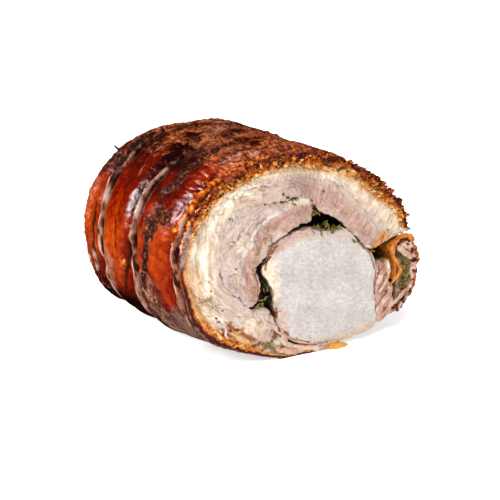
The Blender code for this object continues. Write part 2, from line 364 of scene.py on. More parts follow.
class Finish:
    """A Principled material under construction, and the marks that its piece keeps for it."""

    def __init__(self, name, marks="", **constants):
        self.material = bpy.data.materials.new(name)
        self.material.use_nodes = True
        self.tree = self.material.node_tree
        self.shader = self.tree.nodes["Principled BSDF"]
        for socket, value in constants.items():
            self.shader.inputs[socket.replace("_", " ")].default_value = value
        self.place = self.add("TexCoord", output="Object")
        self.marks = {
            mark: self.add("Attribute", output="Fac", attribute_name=mark) for mark in marks.split()}

    def add(self, kind, feeds=None, stops=(), output=0, **settings):
        """Add a node with its settings and links, and hand back one of its output sockets.

        feeds holds a value or a linked socket for each input, and stops the colours of a ramp.
        """
        made = self.tree.nodes.new("ShaderNode" + kind)
        for name, value in settings.items():
            setattr(made, name, value)
        for place, value in (feeds or {}).items():
            if isinstance(value, bpy.types.NodeSocket):
                self.tree.links.new(value, made.inputs[place])
            else:
                made.inputs[place].default_value = value
        if stops:
            ramp = made.color_ramp
            while len(ramp.elements) < len(stops):
                ramp.elements.new(0.5)
            for element, (position, colour) in zip(ramp.elements, stops):
                element.position = position
                element.color = linear(colour)
        return made.outputs[output]

    def sized(self, size, place=None, **feeds):
        """What a texture is fed with for features of a size in mm: coordinates are in metres."""
        return {"Vector": place or self.place, "Scale": 1.0 / (size * MM), **feeds}

    def warped(self, amount, size):
        """Coordinates pushed about by noise, by an amount and with features of a size in mm."""
        push = self.add("TexNoise", self.sized(size, Detail=3.0), output="Color")
        push = self.add("VectorMath", {0: push, 1: (0.5, 0.5, 0.5)}, operation="SUBTRACT")
        reach = 2 * amount * MM
        feeds = {0: push, 1: (reach, reach, reach), 2: self.place}
        return self.add("VectorMath", feeds, operation="MULTIPLY_ADD")

    def weigh(self, *parts, plus=0.0):
        """Sum of numbers, each on its own or in a pair with its weight."""
        total = plus
        for part in parts:
            value, weight = part if isinstance(part, tuple) else (part, 1.0)
            total = self.add("Math", {0: value, 1: weight, 2: total}, operation="MULTIPLY_ADD")
        return total

    def share(self, low, high, *parts):
        """A weighed sum as a share that runs smoothly from 0 at low to 1 at high."""
        feeds = {"Value": self.weigh(*parts), "From Min": low, "From Max": high}
        return self.add("MapRange", feeds, interpolation_type="SMOOTHSTEP")

    def cover(self, colour, share, paint, tone=None):
        """Lay one colour, or a ramp's colours read along a tone, over a colour by a share."""
        over = linear(paint) if tone is None else self.add("ValToRGB", {0: tone}, paint)
        feeds = {0: share, FIRST: colour, SECOND: over}
        return self.add("Mix", feeds, output=MIXED, data_type="RGBA")

    def marked(self, colour, ragged, *rows):
        """Cover a colour where the piece is marked, with ragged edges.

        Each row is a mark, the sums at which it starts and is full, its colours and their tone.
        """
        for mark, low, high, paint, tone in rows:
            share = self.share(low, high, self.marks[mark], ragged)
            colour = self.cover(colour, share, paint, tone)
        return colour

    def inside_roll(self, colour):
        """Darken the sides of a layer inside the roll with herbs and painted shade, and brown its far
        end.
        """
        clouds, wall_tone = (
            self.add("TexNoise", self.sized(size, Detail=detail, Roughness=rough))
            for size, detail, rough in ((6, 5, 0.6), (3, 4, 0.7)))
        hidden = self.weigh(self.marks["wall"], (self.marks["far"], -1.0))
        colour = self.cover(colour, hidden, HERBS_AND_SHADE, wall_tone)
        return self.cover(colour, self.weigh((self.marks["far"], END_BROWN)), MEAT_END, clouds)

    def finish(self, colour, roughness=None, reliefs=()):
        """Link the colour, the roughness and reliefs of (height socket, mm)."""
        self.tree.links.new(colour, self.shader.inputs["Base Color"])
        if roughness is not None:
            self.tree.links.new(roughness, self.shader.inputs["Roughness"])
        normal = None
        for height, size in reliefs:
            feeds = {"Height": height, "Distance": size * MM}
            if normal:
                feeds["Normal"] = normal
            normal = self.add("Bump", feeds)
        if normal:
            self.tree.links.new(normal, self.shader.inputs["Normal"])
        return self.material


def roasted_skin(name, gloss, coat):
    """Pork rind roasted to a lacquer of rendered fat over deep red and orange skin.

    Where a string held it down or where it charred, the same skin stays matt.
    """
    look = Finish(name, "glow crackle crumb dull streaks lip char crevice far", Coat_Weight=coat,
                  Coat_Roughness=0.16, Coat_IOR=1.45, Specular_IOR_Level=gloss)
    marks = look.marks
    broad, middle, fine, mottled, crumbly, sooty, clouds = (
        look.add("TexNoise", look.sized(size, Detail=detail, Roughness=rough))
        for size, detail, rough in (
            (14, 4, 0.65), (4.5, 4, 0.65), (1.6, 4, 0.7), (3.2, 5, 0.7), (2.6, 4, 0.7),
            (2.4, 5, 0.75), (6, 5, 0.6)))
    # The tone includes painted shade beside each groove.
    tone = look.weigh(marks["glow"], (broad, 0.75), (middle, 0.75), (fine, 0.375), plus=-0.9375)
    colour = look.add("ValToRGB", {0: tone}, (
        (0.0, "#160303"), (0.22, "#340602"), (0.45, "#580A00"), (0.68, "#7C2500"),
        (0.88, "#943A00"), (1.0, "#A84E00")))
    colour = look.marked(
        colour, middle,
        ("crackle", 0.65, 1.2, (
            (0.38, "#1A0A08"), (0.44, "#4A1A0C"), (0.49, "#7C3214"), (0.54, "#9C5028"),
            (0.62, "#B8784C")), look.weigh((mottled, 1 / 3), (middle, 1 / 3), (fine, 1 / 3))),
        ("crumb", 0.75, 1.15, (
            (0.34, "#2A0904"), (0.43, "#70220A"), (0.52, "#A2440A"), (0.60, "#C8721C"),
            (0.70, "#DC9A44")), crumbly))
    colour = look.cover(colour, marks["dull"], (
        (0.8, "#33160F"), (1.0, "#653C2E"), (1.0, "#84604F")), look.weigh(broad, fine))
    colour = look.marked(colour, fine, ("lip", 0.7, 1.2, (
        (0.0, "#2E140C"), (0.2, "#704430"), (0.4, "#94695A"), (0.7, "#A08478")),
        look.weigh(marks["streaks"], (fine, 0.5))))
    colour = look.marked(colour, look.weigh(middle, fine), ("char", 1.2, 1.6, (
        (0.40, "#100705"), (0.50, "#26110B"), (0.57, "#4C1E10"), (0.63, "#8C4418"),
        (0.70, "#B8682E")), sooty))
    # Crevices and folds beside the strings are painted shade, nearly black.
    colour = look.cover(colour, marks["crevice"], "#150805")
    colour = look.cover(colour, marks["far"], CRUST_END, clouds)
    rough = look.weigh(
        (marks["char"], 0.5), (marks["crackle"], 0.34), (marks["lip"], 0.3), (marks["dull"], 0.3),
        (fine, 0.26), plus=0.03)
    rugged = look.weigh(marks["crackle"], marks["char"], plus=0.15)
    rugged = look.add("Math", {0: fine, 1: rugged}, operation="MULTIPLY")
    dimples = look.add("TexVoronoi", look.sized(2.2), output="Distance", feature="SMOOTH_F1")
    return look.finish(colour, rough, ((middle, 0.4), (dimples, 0.2), (fine, 0.08), (rugged, 0.7)))


def broken_crust():
    """Broken edge of the crackling: golden crumb, toasted red-brown, or melted amber."""
    look = Finish("broken_crackling", "toast melt glaze pit far", Specular_IOR_Level=0.35,
                  Subsurface_Weight=0.05, Subsurface_Scale=0.002)
    marks = look.marks
    fine, lumpy, clouds = (
        look.add("TexNoise", look.sized(size, Detail=detail, Roughness=rough))
        for size, detail, rough in ((1.2, 4, 0.7), (4.2, 4, 0.65), (6, 5, 0.6)))
    toasted = look.weigh(marks["toast"], (lumpy, 1.3), (fine, 1.3), plus=-1.3)
    colour = look.add("ValToRGB", {0: toasted}, (
        (0.0, "#E6C694"), (0.14, "#DC9C44"), (0.36, "#C46C16"), (0.58, "#A2480C"),
        (0.80, "#7A280A"), (1.0, "#461408")))
    melted = look.weigh(marks["toast"], (lumpy, 0.6), (fine, 0.6), plus=-0.6)
    colour = look.cover(colour, marks["melt"], (
        (0.0, "#E2BE8C"), (0.20, "#D0862E"), (0.36, "#A84A0A"), (0.50, "#5A1607"),
        (0.78, "#381410"), (1.0, "#8A5A4A")), melted)
    # Painted sheen: a grey reflection on the smooth crust at the left.
    colour = look.cover(colour, marks["glaze"], (
        (0.8, "#4A302C"), (1.0, "#84706C"), (1.0, "#A89896")), look.weigh(fine, lumpy))
    # Painted shade in the pits between crumbs and on the crust's sides inside the roll.
    colour = look.cover(colour, marks["pit"], "#2A0A03")
    colour = look.cover(colour, marks["far"], CRUST_END, clouds)
    crumbs = look.add("TexVoronoi", look.sized(2.6), output="Distance")
    return look.finish(colour, look.share(-0.4, 1.1, fine), ((crumbs, 0.8), (fine, 0.7)))


def cut_meat(name, meat):
    """Roast pork belly, sliced: moist layered meat and creamy fat that light sinks into.

    Its fibres are about 0.1 mm across. They are drawn 0.9 mm across, so that they show.
    """
    look = Finish(name, "flow_along flow_across radial pink fat lilac white gold brown olive calm "
                  "crease wall far", Subsurface_Weight=0.1, Subsurface_Scale=0.003,
                  Subsurface_Radius=(1.0, 0.5, 0.35), Specular_IOR_Level=0.45, Coat_Weight=0.1,
                  Coat_Roughness=0.3)
    marks = look.marks
    fine, broad, patches, thin_patches, scatter, drift = (
        look.add("TexNoise", look.sized(size, Detail=detail, Roughness=rough))
        for size, detail, rough in (
            (1.0, 4, 0.75), (13, 3, 0.55), (13, 2, 0.6), (7, 2, 0.6), (14, 1, 0.6), (9, 2, 0.6)))
    flow = look.add("CombineXYZ", {0: marks["flow_along"], 1: marks["flow_across"]})
    wander = look.weigh((drift, 3 * MM), plus=-1.5 * MM)
    flow = look.add("VectorMath", {0: flow, 1: wander})
    lengthwise, radially = (
        look.add("VectorMath", {0: flow, 1: stretch}, operation="MULTIPLY")
        for stretch in ((0.28, 1.0, 1.0), (1.0, 0.3, 1.0)))
    feeds = {0: marks["radial"], FIRST: lengthwise, SECOND: radially}
    grown = look.add("Mix", feeds, output=MIXED, data_type="RGBA")
    layers, fibres = (
        look.add("TexNoise", look.sized(size, grown, Detail=detail, Roughness=rough))
        for size, detail, rough in ((2.6, 3, 0.55), (0.9, 4, 0.7)))
    ragged = look.weigh((layers, 0.5), (fine, 0.5))
    tone = look.weigh((broad, 0.35), (layers, 0.4), (fibres, 0.25))
    colour = look.add("ValToRGB", {0: tone}, tuple(zip((0.38, 0.5, 0.6), meat)))
    colour = look.marked(
        colour, ragged,
        ("pink", 0.55, 1.5, (
            (0.36, "#8A5C4C"), (0.46, "#AA7F6E"), (0.56, "#BC9788"), (0.66, "#CCB0A2")),
            look.weigh((fibres, 0.5), (layers, 0.5))),
        ("fat", 0.55, 1.5, ((0.36, "#B99A7A"), (0.47, "#CFB799"), (0.58, "#E0D0BC")),
            look.weigh((layers, 0.5), (ragged, 0.5))),
        ("lilac", 0.6, 1.4, ((0.35, "#A08A86"), (0.65, "#C4B4B2")), layers),
        ("white", 0.6, 1.5, ((0.35, "#CDBBA6"), (0.6, "#E8DCCD")), layers),
        ("gold", 0.65, 1.55, ((0.38, "#AA6A28"), (0.5, "#D09A58"), (0.6, "#DEBB88")), ragged),
        ("brown", 0.75, 1.6, (
            (0.38, "#2E0E06"), (0.48, "#7A3410"), (0.56, "#B4722E"), (0.64, "#C8986A")), ragged),
        ("olive", 0.75, 1.45, ((0.35, "#231B0A"), (0.5, "#5E4F22"), (0.65, "#A08A55")), fine))
    wide, tight = (
        look.add("TexVoronoi", look.sized(size, look.warped(*warp)), output="Distance",
                 feature="DISTANCE_TO_EDGE")
        for size, warp in ((8.0, (3.0, 5.0)), (3.4, (1.2, 2.5))))
    torn = look.share(0.45, 0.6, patches)
    cracks = {0: look.share(0.04, 0.0, wide), 1: look.share(0.42, 0.6, fine)}
    cracks = {0: look.add("Math", cracks, operation="MULTIPLY"), 1: torn}
    cracks = look.add("Math", cracks, operation="MULTIPLY")
    hairs = {0: look.share(0.05, 0.0, tight), 1: look.share(0.55, 0.65, thin_patches)}
    hairs = look.add("Math", hairs, operation="MULTIPLY")
    # Crack lines and creases are darkened as painted shade.
    lines = look.share(0.0, 1.0, cracks, (hairs, 0.6), (marks["calm"], -1.0))
    colour = look.cover(colour, look.weigh((lines, 0.6)), "#83502F")
    creases = look.share(0.25, 1.1, (fine, 0.9), look.weigh(marks["crease"], plus=-0.45))
    colour = look.cover(colour, creases, "#522A1C")
    grounds = look.add("TexVoronoi", look.sized(5.5), output="Distance")
    pepper = {0: look.share(0.10, 0.06, grounds), 1: look.share(0.42, 0.6, scatter)}
    pepper = look.add("Math", pepper, operation="MULTIPLY")
    colour = look.cover(colour, look.weigh((pepper, 0.8)), "#4A2212")
    colour = look.inside_roll(colour)
    swollen = look.add("Math", {0: look.share(0.0, 0.2, wide), 1: torn}, operation="MULTIPLY")
    return look.finish(colour, look.share(-0.9, 1.5, fine), (
        (swollen, 0.5), (layers, 1.0), (fibres, 0.3), (fine, 0.25)))


def loin_meat():
    """Roast pork loin, sliced: nearly white, close-grained and slightly damp.

    Its grain is finer than 0.5 mm. It is drawn 1.3 to 2.4 mm across, so that it shows.
    """
    look = Finish("sliced_loin", "pink fat gold brown wall far", Subsurface_Weight=0.08,
                  Subsurface_Scale=0.002, Subsurface_Radius=(1.0, 0.55, 0.4),
                  Specular_IOR_Level=0.45, Coat_Weight=0.1, Coat_Roughness=0.3)
    fine, broad, uneven = (
        look.add("TexNoise", look.sized(size, Detail=detail, Roughness=rough))
        for size, detail, rough in ((0.8, 3, 0.7), (18, 3, 0.5), (4.5, 4, 0.6)))
    slanting = look.add("Mapping", {
        0: look.warped(1.0, 6.0), 2: (0.0, math.radians(42.0), 0.0), 3: (0.45, 1.0, 1.0)})
    threads, scraps = (
        look.add("TexNoise", look.sized(size, slanting, Detail=detail, Roughness=rough))
        for size, detail, rough in ((1.5, 3, 0.6), (1.3, 2, 0.5)))
    ragged = look.weigh((uneven, 0.5), (fine, 0.5))
    tone = look.weigh((broad, 0.35), (threads, 0.4), (fine, 0.25))
    colour = look.add("ValToRGB", {0: tone}, ((0.38, "#ADA39E"), (0.5, "#BCB5B1"), (0.6, "#CAC4C0")))
    colour = look.marked(
        colour, ragged,
        ("pink", 0.6, 1.5, ((0.36, "#9E7564"), (0.5, "#BE9C8E"), (0.62, "#CFB6AA")), ragged),
        ("fat", 0.6, 1.35, ((0.36, "#C8AC88"), (0.5, "#DDCAB2"), (0.62, "#E8DCCC")), ragged),
        ("gold", 0.8, 1.8, ((0.36, "#B07436"), (0.6, "#D8B98C")), ragged),
        ("brown", 0.7, 1.4, ((0.38, "#2E0E06"), (0.5, "#74340F"), (0.62, "#AE6E36")), ragged))
    # Pale flecks on the damp grain are painted highlights; they also raise the grain a little.
    glint_flecks = look.share(0.54, 0.68, scraps)
    colour = look.cover(colour, look.weigh((glint_flecks, 0.3)), "#EBE5E0")
    grounds = look.add("TexVoronoi", look.sized(11), output="Distance")
    colour = look.cover(colour, look.weigh((look.share(0.055, 0.03, grounds), 0.6)), "#7A5A48")
    colour = look.inside_roll(colour)
    beads = look.sized(2.4, look.warped(1.2, 3.0))
    beads = look.add("TexVoronoi", beads, output="Distance", feature="SMOOTH_F1")
    raised = look.weigh((beads, -1.0), plus=1.0)
    return look.finish(colour, look.share(-0.9, 1.4, fine), (
        (threads, 0.7), (raised, 0.6), (glint_flecks, 0.25), (fine, 0.12)))


def herb_paste():
    """Chopped rosemary, fennel and pepper, roasted nearly black, with olive and tan bits."""
    look = Finish("roasted_herbs", Specular_IOR_Level=0.3)
    fine = look.add("TexNoise", look.sized(1.6, Detail=4, Roughness=0.7))
    bits, crumbs = (
        look.add("TexVoronoi", look.sized(size), output="Distance") for size in (1.8, 1.9))
    tone = look.add("Math", {0: bits, 1: fine}, operation="MULTIPLY")
    colour = look.add("ValToRGB", {0: tone}, (
        (0.10, "#080403"), (0.26, "#120B05"), (0.38, "#2A200C"), (0.55, "#5E4F22")))
    return look.finish(colour, look.share(-1.0, 1.2, fine), ((crumbs, 0.8), (fine, 0.5)))


def orange_rind():
    """Tucked-in strip of rind: glossy, rubbery and amber orange."""
    look = Finish("amber_rind", Coat_Weight=0.4, Coat_Roughness=0.15, Subsurface_Weight=0.1,
                  Subsurface_Scale=0.002)
    fine = look.add("TexNoise", look.sized(2.5, Detail=3, Roughness=0.6))
    colour = look.add("ValToRGB", {0: fine}, ((0.3, "#8E4208"), (0.5, "#C4701A"), (0.7, "#DD9A4A")))
    return look.finish(colour, look.share(-0.4, 1.6, fine), ((fine, 0.4),))


def leaf(name, dark, light):
    """Dried and roasted leaf: dull, with a darker and a lighter side to it."""
    look = Finish(name, Specular_IOR_Level=0.3, Roughness=0.6)
    tone, veins = (
        look.add("TexNoise", look.sized(size, Detail=2, Roughness=0.6)) for size in (3, 1.0))
    colour = look.add("ValToRGB", {0: tone}, ((0.35, dark), (0.65, light)))
    return look.finish(colour, reliefs=((veins, 0.2),))


def meat_juice():
    """Roasting juice: clear amber, wet, thin at its edge."""
    look = Finish("amber_juice", Transmission_Weight=0.35, IOR=1.36, Roughness=0.08)
    tone = look.add("TexNoise", look.sized(6, Detail=2, Roughness=0.6))
    return look.finish(look.add("ValToRGB", {0: tone}, ((0.35, "#CC7A14"), (0.65, "#EDB048"))))


def floor_paint():
    """Matt white studio floor that glows a little: painted light that lifts its shadows and lights the
    roast from below.
    """
    look = Finish("matt_white", Specular_IOR_Level=0.0, Roughness=1.0, Emission_Strength=0.6)
    tone = look.add("TexNoise", look.sized(400, Detail=1, Roughness=0.6))
    return look.finish(look.add("ValToRGB", {0: tone}, ((0.4, "#FBFBFA"), (0.6, "#FCFCFB"))))


# ---------------------------------------------------------------------------------------------
# Marks drawn on the cut face: half width in mm, strength, then the line that it follows

BELLY_MARKS = {
    "fat": (
        (6.5, 0.9, ((-38, 104), (-49, 99), (-60, 91), (-66, 80), (-68, 68), (-68, 56), (-65, 46))),
        (3.0, 0.7, ((-30, 109), (-15, 111.5), (0, 110), (18, 106.5), (33, 101), (45, 92), (57, 83))),
        (5.0, 0.9, ((58, 79), (65, 72), (70, 68))),
        (4.0, 0.6, ((36, 96), (50, 86), (60, 74))),
        (2.5, 1.0, ((-26, 50), (-25, 57))),
        (4.0, 0.8, ((-68, 38), (-62, 29), (-66, 50))),
        (1.6, 0.9, ((0.5, 92), (-8, 93), (-17, 91.5))),
        (2.0, 0.8, ((-44, 74), (-40, 71), (-38, 73))),
        (1.4, 1.0, ((62.5, 43), (63, 49))),
        (3.0, 0.8, ((70, 54), (77, 57))),
        (4.0, 0.6, ((-42, 22), (-36, 26), (-30, 22))),
        (3.0, 0.7, ((-24, 12), (-12, 6), (4, 4))),
    ),
    "white": (
        (2.6, 0.8, ((-33, 105.5), (-42, 102.5), (-52, 97), (-60, 89.5), (-65, 80), (-67.5, 69),
                    (-67.5, 58), (-65, 49))),
        (1.4, 0.5, ((-20, 89), (-28, 84.5), (-34, 79.5), (-39.5, 72), (-42, 65), (-44, 58))),
        (1.3, 0.8, ((0.5, 93), (-6, 93.6), (-13, 93))),
        (1.8, 0.7, ((-45, 70), (-40, 69.5), (-37, 72))),
        (3.2, 0.7, ((-70, 36), (-63, 33), (-58, 30))),
        (2.2, 0.6, ((-44, 27), (-38, 27))),
        (1.4, 0.7, ((-47, 20), (-44, 14), (-38, 12))),
        (3.0, 0.8, ((64, 80), (69, 74), (72, 69))),
        (2.4, 0.5, ((12, 107), (24, 102), (36, 95))),
        (1.2, 0.8, ((61, 48), (63, 42))),
        (2.0, 0.7, ((74, 56), (78, 53))),
        (1.6, 0.8, ((66, 12), (70, 14))),
        (1.6, 0.8, ((15, 4), (18, 6))),
    ),
    "gold": (
        (3.0, 0.9, ((-77.5, 78), (-78.5, 66), (-78, 54), (-74, 42), (-67, 30))),
        (4.0, 0.6, ((-73, 62), (-73, 50), (-70, 40))),
        (4.0, 0.9, ((-62, 22), (-54, 18), (-46, 15), (-38, 12))),
        (3.0, 0.7, ((-24, 5), (-10, 4), (4, 2.6), (14, 2))),
        (2.0, 1.0, ((-70, 92), (-62, 99), (-52, 105), (-40, 109))),
        (2.0, 0.7, ((-20, 112), (0, 112), (20, 107), (38, 98), (54, 86))),
        (2.5, 0.9, ((54, 63), (58, 65), (62, 64))),
        (3.0, 0.7, ((74, 55), (76, 46), (75, 36))),
        (5.0, 0.8, ((-68, 30), (-62, 24), (-54, 19), (-44, 15))),
        (2.0, 0.8, ((74, 13), (66, 12), (58, 10))),
        (1.6, 0.9, ((66, 60.5), (72, 61.5), (79, 60))),
    ),
    "pink": (
        (4.4, 0.9, ((1, 88.5), (-8, 86), (-16, 82.5), (-24, 79), (-31, 73), (-36, 65), (-38.5, 56),
                    (-37, 48), (-35, 41))),
        (7.0, 0.75, ((2, 99), (14, 94), (26, 85), (37, 75), (46, 66))),
        (4.0, 0.6, ((-40, 28), (-33, 22), (-27, 15))),
        (6.0, 0.5, ((-48, 50), (-44, 44))),
        (3.0, 0.8, ((-14, 77), (-4, 78), (0, 79))),
        (4.0, 0.9, ((56, 44), (57, 36), (57, 26), (60, 17))),
        (5.0, 0.45, ((-34, 98), (-18, 103), (0, 104))),
    ),
    "lilac": (
        (2.2, 0.8, ((-17, 89.5), (-25, 87), (-32, 82), (-37, 75), (-40.5, 68), (-43.5, 60), (-42, 52))),
        (4.0, 0.5, ((-50, 84), (-42, 89), (-32, 90))),
        (2.0, 0.7, ((-56, 60), (-54, 52), (-48, 46), (-42, 39))),
    ),
    "brown": (
        (1.4, 0.7, ((-76, 52), (-72, 41), (-66, 31), (-58, 22.5), (-48, 16), (-38, 11))),
        (3.0, 0.6, ((76, 50), (77, 40), (76, 30), (72, 24))),
        (1.6, 0.8, ((61, 55), (66, 50), (66, 42), (64, 36))),
        (1.8, 1.0, ((-62, 19), (-57, 21), (-53, 24), (-49, 25))),
        (1.3, 1.0, ((-51, 28), (-54, 23), (-53, 19))),
        (1.5, 1.0, ((-46, 23), (-40, 18), (-34, 15))),
        (1.6, 0.9, ((-37, 11), (-31, 12), (-27, 9))),
        (0.7, 0.7, ((-72, 43), (-69, 45), (-65, 43))),
        (0.8, 0.9, ((-18, 31), (-20, 27))),
        (1.2, 0.9, ((-20, 18), (-22, 13), (-27, 10))),
        (1.2, 0.9, ((-12, 12), (-6, 9), (0, 6.6), (9, 5))),
        (1.5, 0.9, ((4, 90), (7, 86), (10, 84))),
        (1.0, 0.9, ((54, 44), (55, 38), (54, 33))),
        (0.9, 0.9, ((57, 42), (58, 36), (60, 32))),
        (2.5, 0.8, ((66, 18), (73, 18), (79, 22))),
        (2.0, 1.0, ((82, 56), (84, 46), (83.5, 36), (80, 26))),
        (1.0, 1.0, ((10, 84.6), (18, 80.6), (26, 76))),
        (0.8, 0.9, ((-33, 58), (-34.5, 53), (-32, 47), (-33, 41))),
        (0.8, 0.8, ((-26, 36), (-31, 33.5), (-36, 34))),
    ),
    "olive": (
        (3.0, 0.8, ((-26, 10), (-20, 6), (-13, 4))),
        (1.5, 0.8, ((-30, 36), (-28, 38))),
        (5.0, 1.0, ((73, 50), (74, 40), (73, 27))),
        (2.0, 0.9, ((56, 50), (61, 52))),
        (1.5, 0.7, ((60, 11), (68, 13))),
    ),
}
LOIN_MARKS = {
    "pink": (
        (4.5, 0.9, ((-24, 64), (-16, 71), (-6, 74), (2, 75))),
        # This line also darkens the loin's top edge as painted shade.
        (5.0, 0.6, ((2, 75), (15, 72), (27, 71), (38, 63))),
        (5.0, 0.8, ((-23, 40), (-20, 30), (-16, 20))),
    ),
    "fat": ((4.5, 1.0, ((-26, 58), (-25, 50), (-22, 45))),),
    "gold": ((3.5, 0.9, ((-8, 9), (4, 5), (20, 3.6), (36, 4.5), (50, 9))),),
    "brown": (
        (1.1, 0.9, ((-14, 16), (-11, 12), (-4, 8.6), (3, 6.6))),
        (0.8, 0.9, ((-19.5, 26), (-20, 32))),
        (0.9, 0.9, ((-27.6, 56), (-26.5, 61), (-23, 66), (-20, 69))),
        (0.9, 0.9, ((4, 76.5), (14, 74), (26, 73.4))),
        (0.8, 0.8, ((51, 45), (46.5, 56), (40, 62))),
    ),
}
# Round the open hollows, whose walls darken sooner as painted shade, in the same terms as the marks.
HOLLOWS = (
    (5.0, 1.0, ((5, 86), (12, 80), (26, 76))),
    (5.0, 1.0, ((-31, 58), (-29, 48), (-28, 36))),
    (5.0, 1.0, ((50, 55), (57, 55))),
)
# Creases between muscles, darkened more where deeper as painted shade: half width, depth, line.
CREASES = (
    (0.55, 1.2, ((-57, 58), (-54, 50.5), (-48, 45.5), (-42, 38), (-38, 34.5))),
    (0.5, 0.8, ((-52, 55), (-46, 56), (-42, 50), (-40, 44))),
    (0.5, 0.7, ((-44, 78), (-41, 70), (-45, 62), (-44, 54))),
    (0.45, 0.6, ((-20, 86), (-29, 82), (-35, 76), (-38.5, 68), (-41, 60), (-39, 50))),
    (0.8, 1.8, ((-60, 17), (-56, 22), (-51, 20), (-46, 15))),
    (0.7, 1.2, ((-62, 29), (-56, 30), (-50, 25), (-43, 19))),
    (0.6, 1.0, ((-72, 54), (-66, 55), (-62, 50), (-63, 44), (-70, 43))),
    (0.5, 0.8, ((-60, 40), (-52, 36), (-44, 30), (-40, 24))),
    (0.7, 1.4, ((-36, 10), (-30, 13), (-26, 20))),
    (1.4, 3.5, ((-21.5, 18), (-19, 15), (-21, 11))),
    (0.5, 0.7, ((-38, 103), (-31, 105), (-24, 106.4))),
    (0.5, 0.7, ((14, 105), (26, 98), (38, 88), (48, 76), (54, 68))),
    (0.5, 0.6, ((-66, 88), (-71, 76), (-72, 64), (-70, 54))),
    (0.9, 2.4, ((-29, 92), (-22, 93.2), (-13, 94), (-4, 95))),
    (0.6, 0.9, ((62, 78), (60, 70), (64, 66))),
    (0.8, 1.6, ((55, 46), (55.5, 38), (54.5, 31))),
    (0.7, 1.2, ((62, 30), (58, 24), (60, 16))),
    (1.0, 2.0, ((71, 50), (74, 42), (73, 33), (76, 26))),
    (1.0, 2.2, ((66, 17.5), (72, 19), (77, 21))),
)


def drawn(places, marks):
    """How strongly marks cover each place, from 0 to 1, with ragged edges."""
    ragged = 1.0 + 0.7 * grain(upright(places), 5.0, 3)
    cover = np.zeros(len(places))
    for width, strength, line in marks:
        gap = off_line(places, curve_through(line)) * ragged
        cover = np.maximum(cover, strength * (1 - ease(gap, 0.1 * width, 1.9 * width)))
    return cover


def creased(places):
    """Depth in mm of the creases at each place, and how much painted shade darkens them."""
    spots = upright(places)
    wander = astray(spots, 4.0, 2, 50) * 0.7
    broken = ease(grain(spots + 90.0, 5.0, 2), -0.4, 0.25)
    depth = np.zeros(len(places))
    dark = np.zeros(len(places))
    for width, deep, line in CREASES:
        near = bump(off_line(places + wander, curve_through(line)), 1.1 * width) * broken
        depth = np.maximum(depth, deep * near)
        dark = np.maximum(dark, near * min(1.0, 0.45 + deep * 0.3))
    return depth, dark


# ---------------------------------------------------------------------------------------------
# Pieces

# Depths of the rows on sides that mostly stay hidden, closer together near both ends.
HIDDEN_ROWS = np.array(
    (1.0, 2.5, 5.0, 9.0, 15.0, 25.0, 42.0, 62.0, 84.0, 106.0, 122.0, 134.0, 141.0))
# How deep the cut's relief reaches, and how far from its end the far end's browning starts.
RELIEF_FADE = 8.0
BROWN_END = 7.0
# Points that are closer than this are one.
WELD = 0.002 * MM


def rows(front, back, outer, inner, start=0.0):
    """Rows of a grid that goes once round a layer's thickness: shares across, and depths.

    It runs over the cut from the inner to the outer line, back along the outer line, over the
    far end and forward along the inner one. front and back count the rows on both ends.
    """
    across = [np.linspace(0, 1, front), np.ones(len(outer)), np.linspace(1, 0, back),
              np.zeros(len(inner)), [0.0]]
    depth = [np.full(front, start), outer, np.full(back, LENGTH), inner[::-1], [start]]
    return np.concatenate(across), np.concatenate(depth)


def mesh_from(shape, name):
    """Turn a finished bmesh into a smooth mesh."""
    mesh = bpy.data.meshes.new(name)
    shape.to_mesh(mesh)
    shape.free()
    mesh.shade_smooth()
    return mesh


def shown(name, mesh, *materials):
    """Put a mesh in the scene as an object with its materials."""
    for material in materials:
        mesh.materials.append(material)
    piece = bpy.data.objects.new(name, mesh)
    bpy.context.scene.collection.objects.link(piece)
    return piece


# Kinds of faces on a piece with skin, which are also its material slots.
GLOSSY, CUT, MATT = 0, 1, 2


